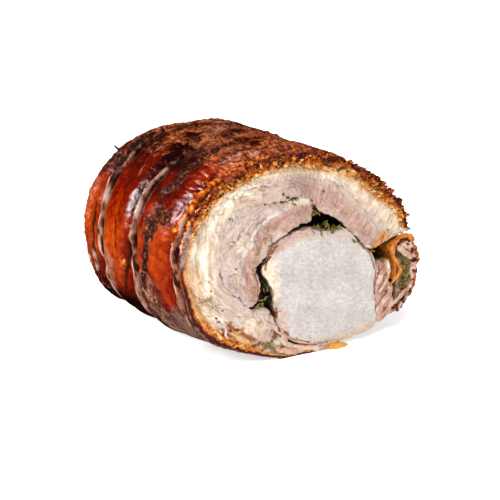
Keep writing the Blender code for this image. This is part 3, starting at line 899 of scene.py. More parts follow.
class Piece:
    """A layer of the roll under construction: a grid with its place in the section."""

    def __init__(self, name, inner, outer, along_count, route, facing=None):
        self.name = name
        across, depth = route
        shape = bmesh.new()
        bmesh.ops.create_grid(shape, x_segments=along_count, y_segments=len(across) - 1, size=0.5)
        shares = np.array([vertex.co[:2] for vertex in shape.verts]) + 0.5
        self.shape = shape
        row = np.rint(shares[:, 1] * (len(across) - 1)).astype(int)
        self.share, self.across, self.depth = shares[:, 0], across[row], depth[row]
        self.near = self.share if facing is None else np.interp(self.share, *np.transpose(facing))
        self.inner, self.outer = inner, outer
        low = along(inner, self.share)
        high = along(outer, self.near)
        self.thickness = np.linalg.norm(high - low, axis=1)
        self.place = low + (high - low) * self.across[:, None]
        self.values = {}
        self.rise = np.zeros(len(row))
        self.back = np.zeros(len(row))
        self.far = ease(self.depth, LENGTH - BROWN_END, LENGTH)

    def spots(self):
        """Places in three dimensions, in mm, for random relief."""
        return np.column_stack([self.place[:, 0], self.depth, self.place[:, 1]])

    def fade(self):
        """How much of the cut's relief each row takes."""
        return 1 - ease(self.depth, 0.0, RELIEF_FADE)

    def walls(self):
        """How dark the sides are inside the roll: herbs on the walls, and painted shade that comes
        sooner round each open hollow.
        """
        hollow = drawn(self.place, HOLLOWS)
        return ease(self.depth, 0.6, 4.5 - 2.5 * hollow) * (0.8 + 0.2 * hollow)

    def build(self, materials, slot, replaced, choose=None):
        """Move the grid into shape, merge its edges, and give it its materials.

        choose holds the kind of each point of a piece with more than one material.
        """
        mesh = mesh_from(self.shape, self.name)
        placed = carry(self.place, self.depth, self.rise, self.back)
        placed[:, 2] = np.maximum(placed[:, 2], 0.0)
        mesh.vertices.foreach_set("co", placed.astype(np.float32).ravel())
        values = dict(self.values, far=self.far)
        if choose is not None:
            values["kind"] = choose
        for name, numbers in values.items():
            kept = mesh.attributes.new(name, "FLOAT", "POINT")
            kept.data.foreach_set("value", np.ascontiguousarray(numbers, np.float32))
        shape = bmesh.new()
        shape.from_mesh(mesh)
        bmesh.ops.remove_doubles(shape, verts=shape.verts, dist=WELD)
        bmesh.ops.dissolve_degenerate(shape, edges=shape.edges, dist=WELD / 2)
        open_edges = [edge for edge in shape.edges if edge.is_boundary]
        closing = bmesh.ops.holes_fill(shape, edges=open_edges, sides=0)["faces"]
        bmesh.ops.triangulate(shape, faces=closing)
        bmesh.ops.recalc_face_normals(shape, faces=shape.faces)
        if choose is not None:
            layer = shape.verts.layers.float["kind"]
            for face in shape.faces:
                kinds = {round(vertex[layer]) for vertex in face.verts} - {CUT}
                face.material_index = min(kinds, default=CUT)
        shape.to_mesh(mesh)
        shape.free()
        mesh.shade_smooth()
        piece = shown(self.name, mesh, *materials)
        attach(piece, "root")
        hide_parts(replaced)
        return piece


# Pale lips of skin beside each string's groove: angle round the roll, then their widths in mm
# in front of the groove and behind it.
LIPS = (
    ((-30, 0.6, 0.8), (60, 0.2, 0.2), (150, 0.3, 0.3), (163, 3.0, 0.8), (175, 4.0, 1.2),
     (195, 4.0, 1.4), (215, 2.5, 1.0), (260, 0.2, 0.4)),
    ((-30, 0.8, 1.2), (100, 0.4, 0.6), (125, 0.5, 0.8), (140, 0.7, 1.5), (152, 0.7, 1.0),
     (165, 0.8, 1.1), (182, 1.0, 1.6), (196, 3.0, 1.8), (215, 3.0, 1.2), (250, 0.6, 0.6)),
    ((-30, 0.8, 1.2), (90, 0.6, 0.8), (125, 0.9, 1.0), (145, 2.6, 1.2), (160, 4.6, 1.8),
     (172, 5.6, 2.2), (184, 6.2, 1.8), (196, 6.0, 1.6), (215, 3.0, 1.0), (250, 0.6, 0.6)),
    ((-30, 0.8, 0.8), (120, 0.6, 0.6), (150, 1.0, 1.0), (175, 1.2, 1.2), (190, 1.2, 1.2),
     (250, 0.6, 0.6)),
)
# Folds beside the strings, darkened as painted shade, as half width in mm, how deep they sink,
# and a line of angles and depths.
FOLDS = (
    (0.9, 1.6, ((178, 36), (181, 32.5), (185, 29), (189, 27), (193, 25))),
    (1.5, 2.4, ((176, 53), (179, 53), (182, 54), (186, 55.5), (190, 58), (196, 61.5), (200, 62))),
    (1.3, 2.0, ((158, 101), (166, 99.6), (172, 99), (179, 99.5), (186, 100.3), (194, 101),
                (202, 99))),
    (0.8, 1.0, ((168, 66), (174, 63), (180, 62))),
    (0.7, 0.9, ((143, 66), (150, 68), (157, 66))),
    (0.8, 1.2, ((128, 17), (121, 18.5), (112, 18.5), (104, 19))),
)
# Charred places on the skin, as half width in mm, strength, and a line of angles and depths.
CHAR = (
    (2.1, 1.0, ((190, 36), (184, 33.5), (179, 31.5), (174, 30), (169, 28.5))),
    (4.5, 0.95, ((168, 28), (163, 27), (160, 24), (160, 20))),
    (2.2, 0.95, ((149, 29), (144, 27), (138, 27.5), (129, 27.5), (120, 28), (109, 29))),
    (2.6, 0.6, ((134, 36), (126, 38), (116, 40))),
    (5.0, 0.8, ((150, 104), (138, 110), (122, 118), (104, 116))),
    (2.5, 0.7, ((149, 95), (140, 96), (128, 95))),
    (3.0, 0.6, ((118, 76), (104, 72), (92, 66), (78, 70))),
    (1.6, 0.7, ((146, 6), (138, 7), (128, 8), (116, 6))),
    (2.6, 0.7, ((64, 40), (48, 44), (36, 40))),
    (2.6, 0.7, ((40, 84), (20, 80), (4, 86))),
)
# Amber crumbs, pale and dull patches, and places of a brighter red, drawn in the same way.
AMBER = (
    (1.0, 0.7, ((146, 44), (136, 47), (124, 50))),
    (2.6, 1.0, ((166, 8), (158, 9), (148, 10), (136, 9), (122, 8), (108, 8))),
    (2.0, 1.0, ((20, 12), (10, 11), (0, 9))),
    (1.1, 0.9, ((182, 57), (184, 56.6), (186, 57))),
    (1.3, 1.0, ((184, 36.5), (188, 37), (192, 38))),
    (2.2, 0.8, ((152, 9), (160, 8), (168, 7.5))),
)
PALE = (
    (2.4, 0.8, ((178, 3), (172, 3), (167, 4))),
    (1.4, 0.55, ((128, 16), (120, 15), (110, 13))),
    (1.0, 0.5, ((148, 62), (140, 66), (130, 69))),
    (1.6, 0.7, ((184, 101), (190, 102), (196, 103))),
)
DULL = (
    (6.0, 0.85, ((190, 34), (196, 30), (203, 26), (212, 24))),
    (6.0, 0.75, ((187, 74), (194, 80), (204, 83))),
    (5.0, 0.4, ((104, 58), (90, 65), (76, 72), (64, 74))),
    (5.0, 0.5, ((200, 12), (210, 14), (222, 16))),
    (4.0, 0.45, ((126, 40), (116, 44), (104, 46))),
)
FINGERS = (
    (4.5, 1.0, ((143, 16), (137, 14.5), (130, 14), (121, 15), (114, 15.5))),
    (4.0, 0.6, ((146, 62), (138, 60), (130, 61))),
)
# Hollows in the skin that show in the outline, in the same terms with their depth in mm.
DENTS = (
    (5.0, 3.6, ((158, 103), (164, 103.5), (170, 105))),
    (4.0, 1.6, ((150, 70), (143, 71))),
)
# How far the skin runs for each degree round the roll, in mm.
DEGREE = math.radians(1.0) * 75.0
# How far the side of the crust towards the meat lies below its line, clear of the grooves.
HIDDEN_SINK = 4.0


def on_skin(places, marks):
    """How strongly marks given as angles and depths cover places given in the same way."""
    lines = [(*mark[:2], np.array(mark[2]) * (DEGREE, 1.0)) for mark in marks]
    return drawn(places * (DEGREE, 1.0), lines)


def turn_of(places):
    """Angle of each place round the middle of the face, from -60 to 300 degrees."""
    from_centre = places - (0, CENTRE_UP)
    angle = np.degrees(np.arctan2(from_centre[:, 1], from_centre[:, 0])) % 360
    return np.where(angle > 300, angle - 360, angle)


def folded(places):
    """Depth in mm of folds and dents at places of angle and depth, and how much painted shade darkens
    the folds.
    """
    flat = places * (DEGREE, 1.0)
    wander = astray(upright(flat), 6.0, 2, 50) * 0.8
    sunk = np.zeros(len(flat))
    dark = np.zeros(len(flat))
    for width, deep, line in DENTS:
        gap = off_line(flat, curve_through(np.array(line) * (DEGREE, 1.0)))
        sunk = np.maximum(sunk, deep * bump(gap, width))
    for width, deep, line in FOLDS:
        gap = off_line(flat + wander, curve_through(np.array(line) * (DEGREE, 1.0)))
        sunk = np.maximum(sunk, deep * bump(gap, 1.6 * width))
        dark = np.maximum(dark, ease(gap, 1.3 * width, 0.4 * width))
    return sunk, dark


def lip_widths(turned, depth, gap):
    """Width in mm of the pale lip beside the nearest string, at angles round the roll."""
    nearest = np.abs(depth[:, None] - np.array(STRINGS)).argmin(axis=1)
    front, behind = np.zeros(len(gap)), np.zeros(len(gap))
    for index, knots in enumerate(LIPS):
        knots = np.array(knots, float)
        here = nearest == index
        front[here] = np.interp(turned[here], knots[:, 0], knots[:, 1])
        behind[here] = np.interp(turned[here], knots[:, 0], knots[:, 2])
    return np.where(gap < 0, front, behind)


def skin_relief(piece):
    """Raise and sink the roasted skin, and note what its finish needs.

    Each string left a crevice in a valley, with a lip on both sides. Between the strings the
    skin swells, and it is wrinkled, or blistered where it is crackle, crumbs or char.
    """
    from_centre = piece.place - (0, CENTRE_UP)
    turned = turn_of(piece.place)
    up = piece.place[:, 1]
    depth = piece.depth
    around = np.column_stack([from_centre[:, 0], depth, from_centre[:, 1]])
    broad = grain(around, 24.0, 2)
    middle = grain(around, 8.0, 3)
    gap = to_string(depth) + 0.8 * grain(around, 13.0, 2)
    width = lip_widths(turned, depth, gap) * (1 + 0.55 * grain(around, 12.0))
    bitten = ease(up, 3.0, 14.0) * ease(depth, 1.0, 5.0) * ease(depth, LENGTH, LENGTH - 8.0)
    rim = 2.4 + 0.9 * grain(around + 30.0, 12.0)
    # The crevice is sunk, and it is also darkened as painted shade.
    crevice = ease(gap, -2.2, -0.8) * ease(gap, rim + 0.4, rim - 0.4) * bitten
    beyond = np.where(gap < 0, -gap - 1.5, gap - rim)
    lip = ease(beyond, -0.3, 0.4) * ease(beyond, width + 0.7, width - 0.5) * bitten
    raised = lip * np.where(gap < 0, 0.35, 1.0)
    lip = lip * ease(width, 0.3, 0.9) * (0.4 + 0.6 * ease(turned, 128, 156))
    top = ease(turned, 34, 62) * ease(turned, 146, 112)
    crackle = np.clip(top * (0.75 + 0.9 * broad + 0.5 * middle), 0, 1)
    crackle = np.maximum(crackle, ease(turned, 120, 150) * ease(depth, 96, 124) * 0.8)
    blister = lumps(around + 1.5 * middle[:, None], 4.4)
    small = lumps(around, 2.3)
    wrinkle_place = np.column_stack([turned * 0.42, depth / 14.0, np.zeros(len(depth))])
    wrinkles = grain(wrinkle_place, 1.0, 2)
    smooth = (1 - crackle) * (1 - bump(gap, 4.0))
    crumb = ease(depth + 4.0 * middle + 2.0 * broad, 11.0, 2.0) * ease(turned, 178, 164)
    valley = (bump(gap, 5.5) - 0.45 * bump(np.abs(gap) - 12.0, 7.0)) * bitten
    on = np.stack([turned, depth], axis=1)
    char = on_skin(on, CHAR) * ease(up, 8, 20)
    amber = on_skin(on, AMBER)
    fingers = on_skin(on, FINGERS)
    sunk, dark = folded(on)
    rise = 0.9 * broad + 0.25 * middle + raised - 1.5 * crevice - 2.2 * valley - sunk
    rise = rise + 0.5 * wrinkles * smooth * ease(turned, 190, 150)
    rise = rise + 0.55 * fingers * np.sin(turned * 1.5 + 7.0 * middle + 4.0 * broad)
    rise = rise + crackle * (1.5 * blister - 0.4) + crackle * 0.6 * small
    rise = rise + crumb * (2.4 * blister + 0.9 * small - 1.2)
    rise = rise + char * (1.4 * blister + 0.8 * small - 0.5) + 0.8 * amber
    outside, inside = piece.across >= 1, piece.across <= 0
    sheltered = ease(depth, 0.5, 4.0) * ease(depth, LENGTH, LENGTH - 8.0)
    piece.rise = (rise * outside - HIDDEN_SINK * sheltered * inside) * ease(up, 0.5, 7.0)
    # Tone of the skin: more orange low down and over the ridges, darker towards the back and the lower
    # left, and darkened beside each groove as painted shade.
    low = ease(turned, 141, 170) + 0.8 * ease(turned, 46, 12)
    glow = 0.23 + 0.47 * low - 0.5 * bump(gap, 5.5) - 0.16 * bump(depth - 62.0, 14.0) + 0.22 * broad
    glow = glow + 0.4 * fingers - 0.3 * ease(depth, 104, 128) - 0.85 * ease(turned, 186, 212)
    streak_place = np.column_stack([turned * 0.14, gap * 0.9 + 0.6 * broad, 0 * depth])
    piece.values.update(
        glow=glow, crackle=crackle, crumb=np.maximum(crumb, 0.85 * amber),
        lip=np.maximum(lip, on_skin(on, PALE)), char=char, crevice=np.maximum(crevice, dark),
        dull=np.maximum(on_skin(on, DULL), 0.6 * ease(up, 22, 6)),
        streaks=grain(streak_place, 1.0, 2),
    )


def skin_rows():
    """Depths of the rows on the skin: close together at the cut and along the strings."""
    spans = ((0.5, 14.0, 0.6), (14.0, 41.0, 1.6), (41.0, 53.0, 0.6), (53.0, 83.0, 1.6),
             (83.0, 95.0, 0.6), (95.0, 116.0, 1.6), (116.0, 128.0, 0.75), (128.0, 145.5, 1.4))
    return np.concatenate([np.arange(*span) for span in spans])


def crumble(piece):
    """Break up a crust at the cut: how far each point stands out, and how deep its pits are, which sets
    how much painted shade darkens them.
    """
    spots = piece.spots()
    pushed = spots + 1.2 * grain(spots, 4.0, 2)[:, None]
    large = lumps(pushed, 5.6)
    middling = lumps(pushed + 20.0, 3.0)
    small = lumps(spots + 40.0, 1.7)
    proud = 2.6 * large + 1.4 * middling + 0.6 * small + 1.2 * grain(spots, 9.0, 2) - 1.0
    pits = ease(large, 0.16, 0.0) * 0.8 + ease(middling, 0.16, 0.0) * 0.5
    return proud, np.clip(pits, 0, 1)


# Places in mm on the crust's cut that are left smooth and painted with a grey sheen.
SHEEN_PATCH = (
    (3.6, 1.0, ((-79, 86), (-81.5, 78), (-82, 69))),
)


def skin_kind(piece):
    """Whether each point of the skin is glossy or matt."""
    values = piece.values
    charred = (values["char"] > 0.25) | (values["lip"] > 0.4)
    sheltered = (values["dull"] > 0.6) | (values["crevice"] > 0.4)
    return np.where(charred | sheltered, MATT, GLOSSY)


def crackling(glossy, crust, matt):
    """Crust of the outer belly: lacquered skin outside, crumbly where it was cut."""
    outer = np.vstack([CRUST_LINE[0], rim_line(WRAP_START, WRAP_END), CRUST_LINE[-1]])
    inner = curve_through(CRUST_LINE)
    piece = Piece("crackling", inner, outer, 530, rows(17, 7, skin_rows(), HIDDEN_ROWS))
    skin_relief(piece)
    proud, pits = crumble(piece)
    spots = piece.spots()
    turned = turn_of(piece.place)
    melt = ease(turned + 6.0 * grain(spots, 9.0, 2), 168.0, 182.0)
    middle = ease(piece.across, 0.0, 0.2) * (1 - 0.4 * ease(piece.across, 0.8, 1.0))
    standing = proud * (0.25 + 0.75 * middle) * (1 - 0.6 * melt)
    glaze = drawn(piece.place, SHEEN_PATCH)
    piece.back = -standing * (1 - glaze) * piece.fade()
    piece.back = piece.back + piece.far * 0.8 * grain(spots, 6.0, 3)
    lifted = (proud - 0.6) * 0.55 * ease(piece.depth, 7.0, 0.0) * ease(piece.place[:, 1], 2.0, 12.0)
    piece.rise = piece.rise + lifted * ease(piece.across, 0.5, 1.0) * (1 - 0.6 * melt)
    piece.values["toast"] = piece.across ** 0.8 - 0.22 * grain(spots, 7.0, 2)
    piece.values["melt"] = melt
    # The crust's sides inside the roll are darkened as painted shade, like its pits.
    inside = ease(piece.depth, 0.5, 2.5) * (piece.across < 1)
    piece.values["pit"] = np.maximum(pits * (1 - 0.7 * melt) * (1 - glaze), inside)
    piece.values["glaze"] = glaze
    on_cut = (piece.across < 1) | (piece.depth <= 0)
    kinds = np.where(on_cut, CUT, skin_kind(piece))
    return piece.build([glossy, crust, matt], "roasted_skin", "belly_wrap", choose=kinds)


def meat_marks(piece, relief=1.0):
    """Relief and colours of a cut layer of meat and fat."""
    spots = piece.spots()
    flat = np.column_stack([piece.place, piece.depth * 0.2])
    length = np.linalg.norm(np.diff(along(piece.inner, np.linspace(0, 1, 200)), axis=0), axis=1).sum()
    layered = np.column_stack([
        piece.share * length, piece.across * piece.thickness * 1.5, piece.depth * 0.2])
    warp = upright(astray(flat, 6.0, 2, 20.0))
    split = lumps(layered + 2.6 * warp, 9.5)
    small = lumps(layered + 1.6 * warp, 4.0)
    torn = ease(grain(flat + 60.0, 16.0, 2), -0.12, 0.3)
    deep, dark = creased(piece.place)
    edge = np.minimum(piece.across, 1 - piece.across) * piece.thickness
    rounded = 0.9 * (1 - ease(edge, 0.0, 2.0)) * ease(grain(flat + 9.0, 7.0, 2), -0.35, 0.3)
    uneven = 0.9 * grain(flat, 9.0, 3) + 0.3 * grain(flat, 2.6, 2)
    uneven = uneven + torn * (0.9 * ease(split, 0.0, 0.3) + 0.5 * ease(small, 0.0, 0.25) - 0.9)
    cut = deep + rounded - relief * uneven
    piece.back = cut * piece.fade() - piece.far * (rounded - 1.2 * grain(spots, 8.0, 3))
    calm = ease(piece.place[:, 0], -24.0, -8.0) * 0.8
    # Cracks between lumps, darkened in the finish as painted shade.
    cracks = torn * np.maximum(0.75 * ease(split, 0.10, 0.0), 0.45 * ease(small, 0.08, 0.0))
    cracks = cracks * (1 - calm)
    piece.values.update(
        crease=np.maximum(dark, cracks), calm=calm, wall=piece.walls(),
        radial=ease(turn_of(piece.place), 112.0, 78.0), flow_along=piece.share * length * MM,
        flow_across=piece.across * piece.thickness * MM,
        **{mark: drawn(piece.place, BELLY_MARKS[mark]) for mark in BELLY_MARKS})


def fray(piece, amount=0.85, grown=0.3):
    """Make the edges of a layer ragged at the cut, where it swells to meet its neighbours."""
    side = astray(piece.spots(), 3.2, 3, 31.0)
    low, high = along(piece.inner, piece.share), along(piece.outer, piece.near)
    across = (high - low) / np.maximum(piece.thickness, 0.5)[:, None]
    outward = across * ((2 * piece.across - 1) * grown)[:, None]
    reach = ease(np.minimum(piece.share, 1 - piece.share), 0.0, 0.02)[:, None]
    piece.place = piece.place + (amount * side + outward * reach) * piece.fade()[:, None]


def pinched(inner, outer):
    """Two lines that are led together at both ends."""
    start, end = (inner[0] + outer[0]) / 2, (inner[-1] + outer[-1]) / 2
    return np.vstack([start, inner, end]), np.vstack([start, outer, end])


def belly_slab(meat):
    """Fat and meat of the outer belly, inside its crust."""
    inner, outer = pinched(beside(curve_through(WRAP_SEAM), SEAM / 2), curve_through(CRUST_LINE))
    route = rows(56, 12, HIDDEN_ROWS, HIDDEN_ROWS)
    piece = Piece("belly_slab", inner, outer, 560, route, FACING)
    sunk = 0.35 * ease(piece.depth, 0.4, 3.5) * ease(piece.depth, LENGTH, LENGTH - 8.0)
    shrink = piece.across * sunk
    low = along(inner, piece.share)
    piece.place = piece.place + (low - piece.place) * shrink[:, None]
    fray(piece)
    meat_marks(piece)
    to_crust = (1 - piece.across) * piece.thickness
    piece.values["gold"] = np.maximum(piece.values["gold"], 0.8 * ease(to_crust, 3.2, 0.0))
    return piece.build([meat], "belly_meat", "belly_wrap")


def beside(line, distance):
    """Shift an open line sideways, to its left as it runs for a positive distance."""
    run = np.gradient(line, axis=0)
    run /= np.maximum(np.linalg.norm(run, axis=1), 1e-9)[:, None]
    return line + distance * np.stack([-run[:, 1], run[:, 0]], axis=1)


def between(line, start, end):
    """Stretch of a line from the point nearest to one place to the one nearest to another."""
    first = np.linalg.norm(line - start, axis=1).argmin()
    last = np.linalg.norm(line - end, axis=1).argmin()
    return line[first:last + 1]


def belly_turn(meat):
    """Inner turn of the belly, which ends in a tongue over the loin."""
    outer = between(curve_through(WRAP_SEAM), TURN_SEAM[-1], TURN_SEAM[0])
    outer = beside(outer, -SEAM / 2)
    inner = curve_through(TURN_SEAM)[::-1]
    outer = np.vstack([inner[0], outer[3:-2], inner[-1]])
    piece = Piece("belly_turn_meat", inner, outer, 330, rows(60, 14, HIDDEN_ROWS, HIDDEN_ROWS))
    fray(piece)
    meat_marks(piece)
    return piece.build([meat], "belly_meat", "belly_turn")


def round_piece(name, outline, centre, along_count, front, back, start=0.0):
    """A layer that closes on itself, with rows from its middle out to its outline."""
    outer = curve_through(outline, closed=True)
    inner = np.repeat(np.array([centre], float), len(outer), axis=0)
    inner = inner + np.linspace(0, 1e-6, len(outer))[:, None]
    hidden = HIDDEN_ROWS[HIDDEN_ROWS > start + 0.5]
    across, depth = rows(front, back, hidden, np.array([]), start)
    piece = Piece(name, inner, outer, along_count, (across[:-1], depth[:-1]))
    piece.place = np.array(centre, float) + (along(outer, piece.share) - centre) * piece.across[:, None]
    return piece


def loin(meat):
    """The loin in the middle of the roll."""
    piece = round_piece("loin_meat", LOIN, (14.0, 38.0), 420, 100, 24)
    fray(piece, 1.0)
    flat = np.column_stack([piece.place, piece.depth * 0.2])
    edge = (1 - piece.across) * piece.thickness
    rounded = 0.8 * (1 - ease(edge, 0.0, 2.2)) * ease(grain(flat + 9.0, 9.0, 2), -0.5, 0.2)
    uneven = 0.7 * grain(flat, 14.0, 3) + 0.25 * grain(flat, 2.4, 3)
    piece.back = (rounded - uneven) * piece.fade()
    piece.back = piece.back - piece.far * (rounded - 1.0 * grain(piece.spots(), 9.0, 3))
    piece.values.update(
        wall=piece.walls(), **{mark: drawn(piece.place, LOIN_MARKS[mark]) for mark in LOIN_MARKS})
    return piece.build([meat], "loin_meat", "loin")


def seam_meat(meat):
    """Strips of meat between the loin and the tucked-in end."""
    piece = round_piece("seam_meat_strips", SEAM_MEAT, (59.0, 30.0), 170, 26, 12)
    fray(piece, 0.6)
    meat_marks(piece, 1.6)
    return piece.build([meat], "seam_meat", "seam_meat")


def belly_end(glossy, meat, matt):
    """Outer end of the belly: skin outside, herbs and fat inside."""
    inner, outer = pinched(curve_through(END_SEAM), rim_line(END_START, END_STOP))
    piece = Piece("belly_end_meat", inner, outer, 110, rows(36, 10, skin_rows(), HIDDEN_ROWS))
    skin_relief(piece)
    piece.rise = np.maximum(piece.rise, -HIDDEN_SINK * (piece.across >= 1))
    meat_marks(piece, 1.5)
    on_cut = piece.across < 1
    behind = ease(piece.depth, 1.5, 6.0)
    roasted = np.maximum(ease((1 - piece.across) * piece.thickness, 4.5, 2.0), behind * on_cut)
    piece.values["brown"] = np.maximum(piece.values["brown"], roasted)
    piece.values["olive"] = piece.values["olive"] * (1 - behind)
    # Matt skin turns over the upper edge into the seam.
    turned_in = (piece.depth > 2.5) & (piece.share < 0.25)
    kinds = np.where(on_cut, np.where(turned_in, MATT, CUT), skin_kind(piece))
    return piece.build([glossy, meat, matt], "roasted_skin", "belly_end", choose=kinds)


def rind_strip(rind):
    """Strip of orange rind tucked into the seam, its edge curling out of the cut."""
    line = curve_through(RIND_LINE)
    outer = beside(line, RIND / 2)
    inner = beside(line, -RIND / 2)
    outer = np.vstack([line[0], outer[2:-2], line[-1]])
    inner = np.vstack([line[0], inner[2:-2], line[-1]])
    piece = Piece("tucked_rind", inner, outer, 90, rows(7, 5, HIDDEN_ROWS, HIDDEN_ROWS))
    share = piece.share * (1 - 0.16 * ease(piece.depth, 3.0, 9.0))
    low, high = along(inner, share), along(outer, share)
    piece.place = low + (high - low) * piece.across[:, None]
    spots = piece.spots()
    proud = 0.4 + 0.8 * grain(spots, 7.0, 2)
    rounded = 0.6 * (1 - ease(np.minimum(piece.across, 1 - piece.across), 0.0, 0.4))
    piece.back = (rounded - proud) * piece.fade()
    piece.place = piece.place + 0.35 * astray(spots, 4, 1, 9)
    return piece.build([rind], "orange_rind", "rind_strip")


def stuffing(side, paste):
    """Herbs that fill one gap, sunk behind the cut."""
    outline = STUFFING[side]
    centre = np.mean(outline, axis=0)
    piece = round_piece("herbs_" + side, outline, centre, 90, 16, 8, start=RECESS[side])
    spots = piece.spots()
    crumbs = lumps(spots, 2.4)
    fresh = 1 - ease(piece.depth, RECESS[side], RECESS[side] + RELIEF_FADE)
    piece.back = -(crumbs * 1.8 + 1.2 * grain(spots, 4.0, 2)) * fresh
    return piece.build([paste], "herb_stuffing", "stuffing_" + side)


# ---------------------------------------------------------------------------------------------
# Small things


def join_small(name, makers, material):
    """One piece from many small shapes, each a bmesh operator's form with its own place."""
    shape = bmesh.new()
    for make in makers:
        make(shape)
    piece = shown(name, mesh_from(shape, name), material)
    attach(piece, "root")
    return piece


def toast_layer(shape):
    """Where a shape keeps how toasted each point is."""
    layers = shape.verts.layers.float
    return layers.get("toast") or layers.new("toast")


def crumb_at(place, size, stretch, turn, toast=0.5):
    """A maker of one rough crumb or leaf bit at a place in mm."""
    spot = Vector(np.array(place) * MM + SHIFT)
    scale = Matrix.Diagonal((*(size * MM * share for share in stretch), 1.0))
    matrix = Matrix.Translation(spot) @ turn.to_matrix().to_4x4() @ scale

    def make(shape):
        """Add the crumb to the shape."""
        kept = toast_layer(shape)
        made = bmesh.ops.create_icosphere(shape, subdivisions=2, radius=0.5, matrix=matrix)
        for vertex in made["verts"]:
            rough = noise.noise_vector(vertex.co / (0.8 * size * MM))
            vertex.co += rough * (0.34 * size * min(stretch) ** 0.5 * MM)
            vertex[kept] = toast
    return make


def scattered(spots, size, stretch, seed, proud=0.3, flat=0.6, toast=0.5):
    """Makers of small bits round named spots: (across, up, how many, how far they spread)."""
    chance = random.Random(seed)
    makers = []
    for across, up, count, spread in spots:
        for _ in range(count):
            place = (across + chance.gauss(0, spread), -proud * chance.uniform(0.3, 1.4),
                     up + chance.gauss(0, spread))
            turn = Vector((chance.uniform(-flat, flat), -1, chance.uniform(-flat, flat)))
            turn = turn.to_track_quat("Z", "Y") @ Matrix.Rotation(
                chance.uniform(0, math.tau), 3, "Z").to_quaternion()
            scale = size * chance.uniform(0.6, 1.3)
            makers.append(crumb_at(place, scale, stretch, turn, toast + chance.uniform(-0.25, 0.25)))
    return makers


# How many sides a strand has round it.
STRAND_SIDES = 10


def strand(points, width, thick, seed=0, turn=0.0, toast=0.3):
    """A maker of one flat strand along points in mm, tapered to its ends.

    The points are (across, forward of the cut, up). width is its half width, thick its half
    thickness, and turn how far it twists along its length, in degrees.
    """
    points = np.array(points, float)
    steps = 6 * len(points)
    shares = np.linspace(0, 1, steps + 1)
    line = np.column_stack([
        along(curve_through(points[:, (0, 2)]), shares),
        np.interp(shares, np.linspace(0, 1, len(points)), points[:, 1]),
    ])[:, (0, 2, 1)]
    line[:, 1] *= -1

    def make(shape):
        """Add the strand to the shape."""
        kept = toast_layer(shape)
        made = bmesh.ops.create_grid(shape, x_segments=steps, y_segments=STRAND_SIDES, size=0.5)
        run = np.gradient(line, axis=0)
        for vertex in made["verts"]:
            share = vertex.co.x + 0.5
            step = min(steps, round(share * steps))
            angle = math.tau * (vertex.co.y + 0.5)
            forward = Vector(run[step]).normalized()
            side = forward.cross(Vector((0, -1, 0))).normalized()
            side.rotate(Quaternion(forward, math.radians(turn * (share - 0.5))))
            normal = side.cross(forward)
            taper = max(0.0, 1 - (2 * share - 1) ** 4) ** 0.5
            middle = Vector(line[step])
            uneven = 1 + 0.5 * noise.noise(middle / 3.0 + Vector((seed, 0, angle)))
            middle += side * (math.cos(angle) * width * taper * uneven)
            middle += normal * (math.sin(angle) * thick * taper * uneven)
            vertex.co = Vector(np.array(middle) * MM + SHIFT)
            vertex[kept] = toast + 0.3 * noise.noise(middle / 4.0)
        bmesh.ops.remove_doubles(shape, verts=made["verts"], dist=WELD)
    return make


def on_roll(turned, depth, rise):
    """Place in mm at an angle round the roll and a depth, a little off its skin."""
    angle = math.radians(turned)
    reach = rim_reach(angle)
    place = np.array([[reach * math.cos(angle), CENTRE_UP + reach * math.sin(angle)]])
    return (carry(place, np.array([depth]), rise)[0] - SHIFT) / MM


HERB_SPOTS = (
    (8, 76, 8, 1.6), (14, 76, 12, 2.0), (19, 75, 8, 1.6), (24, 74, 3, 1.0), (6, 85, 4, 1.6),
    (36, 65, 2, 1.0), (42, 60, 1, 0.5), (-30, 37, 6, 1.6), (-27, 44, 4, 1.8), (-50, 88, 2, 0.8),
    (74, 44, 8, 2.6), (74, 36, 9, 2.6), (73, 28, 7, 2.4), (57, 50, 5, 1.5), (-18, 8, 5, 2.4),
    (-32, 66, 1, 1.0), (-36, 44, 2, 2.0), (-12, 94.5, 3, 2.5), (68, 18, 3, 1.4), (48, 58, 2, 1.0),
)
DARK_SPOTS = (
    (-29, 62, 4, 1.6), (-33, 54, 4, 1.5), (-29, 42, 5, 2.0), (-18, 30, 2, 0.8), (-20, 15, 4, 1.8),
    (-12, 94, 3, 2.0), (-26, 100, 2, 4.0), (8, 98, 2, 4.0), (12, 97, 1, 0.5), (-8, 93.4, 1, 0.5),
    (-36, 76, 1, 0.5), (-48, 60, 1, 0.8), (2, 10, 1, 0.8), (-6, 11.5, 1, 0.4), (-54, 24, 4, 3.0),
    (-28, 10, 3, 2.0), (5, 90, 4, 1.5), (54, 55, 3, 2.0), (-62, 34, 3, 4.0), (-66, 48, 3, 4.0),
    (12, 77, 6, 2.5), (72, 34, 5, 4.0),
)
# Knobs of skin at the right, in the same terms.
KNOB_SPOTS = (
    (81, 53, 3, 0.8), (82.6, 46, 3, 0.8), (82.6, 39, 3, 0.8), (81.6, 33, 3, 0.8),
    (78.5, 27, 3, 0.8), (74.6, 22, 3, 0.8), (69, 18.5, 2, 0.8), (77, 58, 2, 1.0),
)
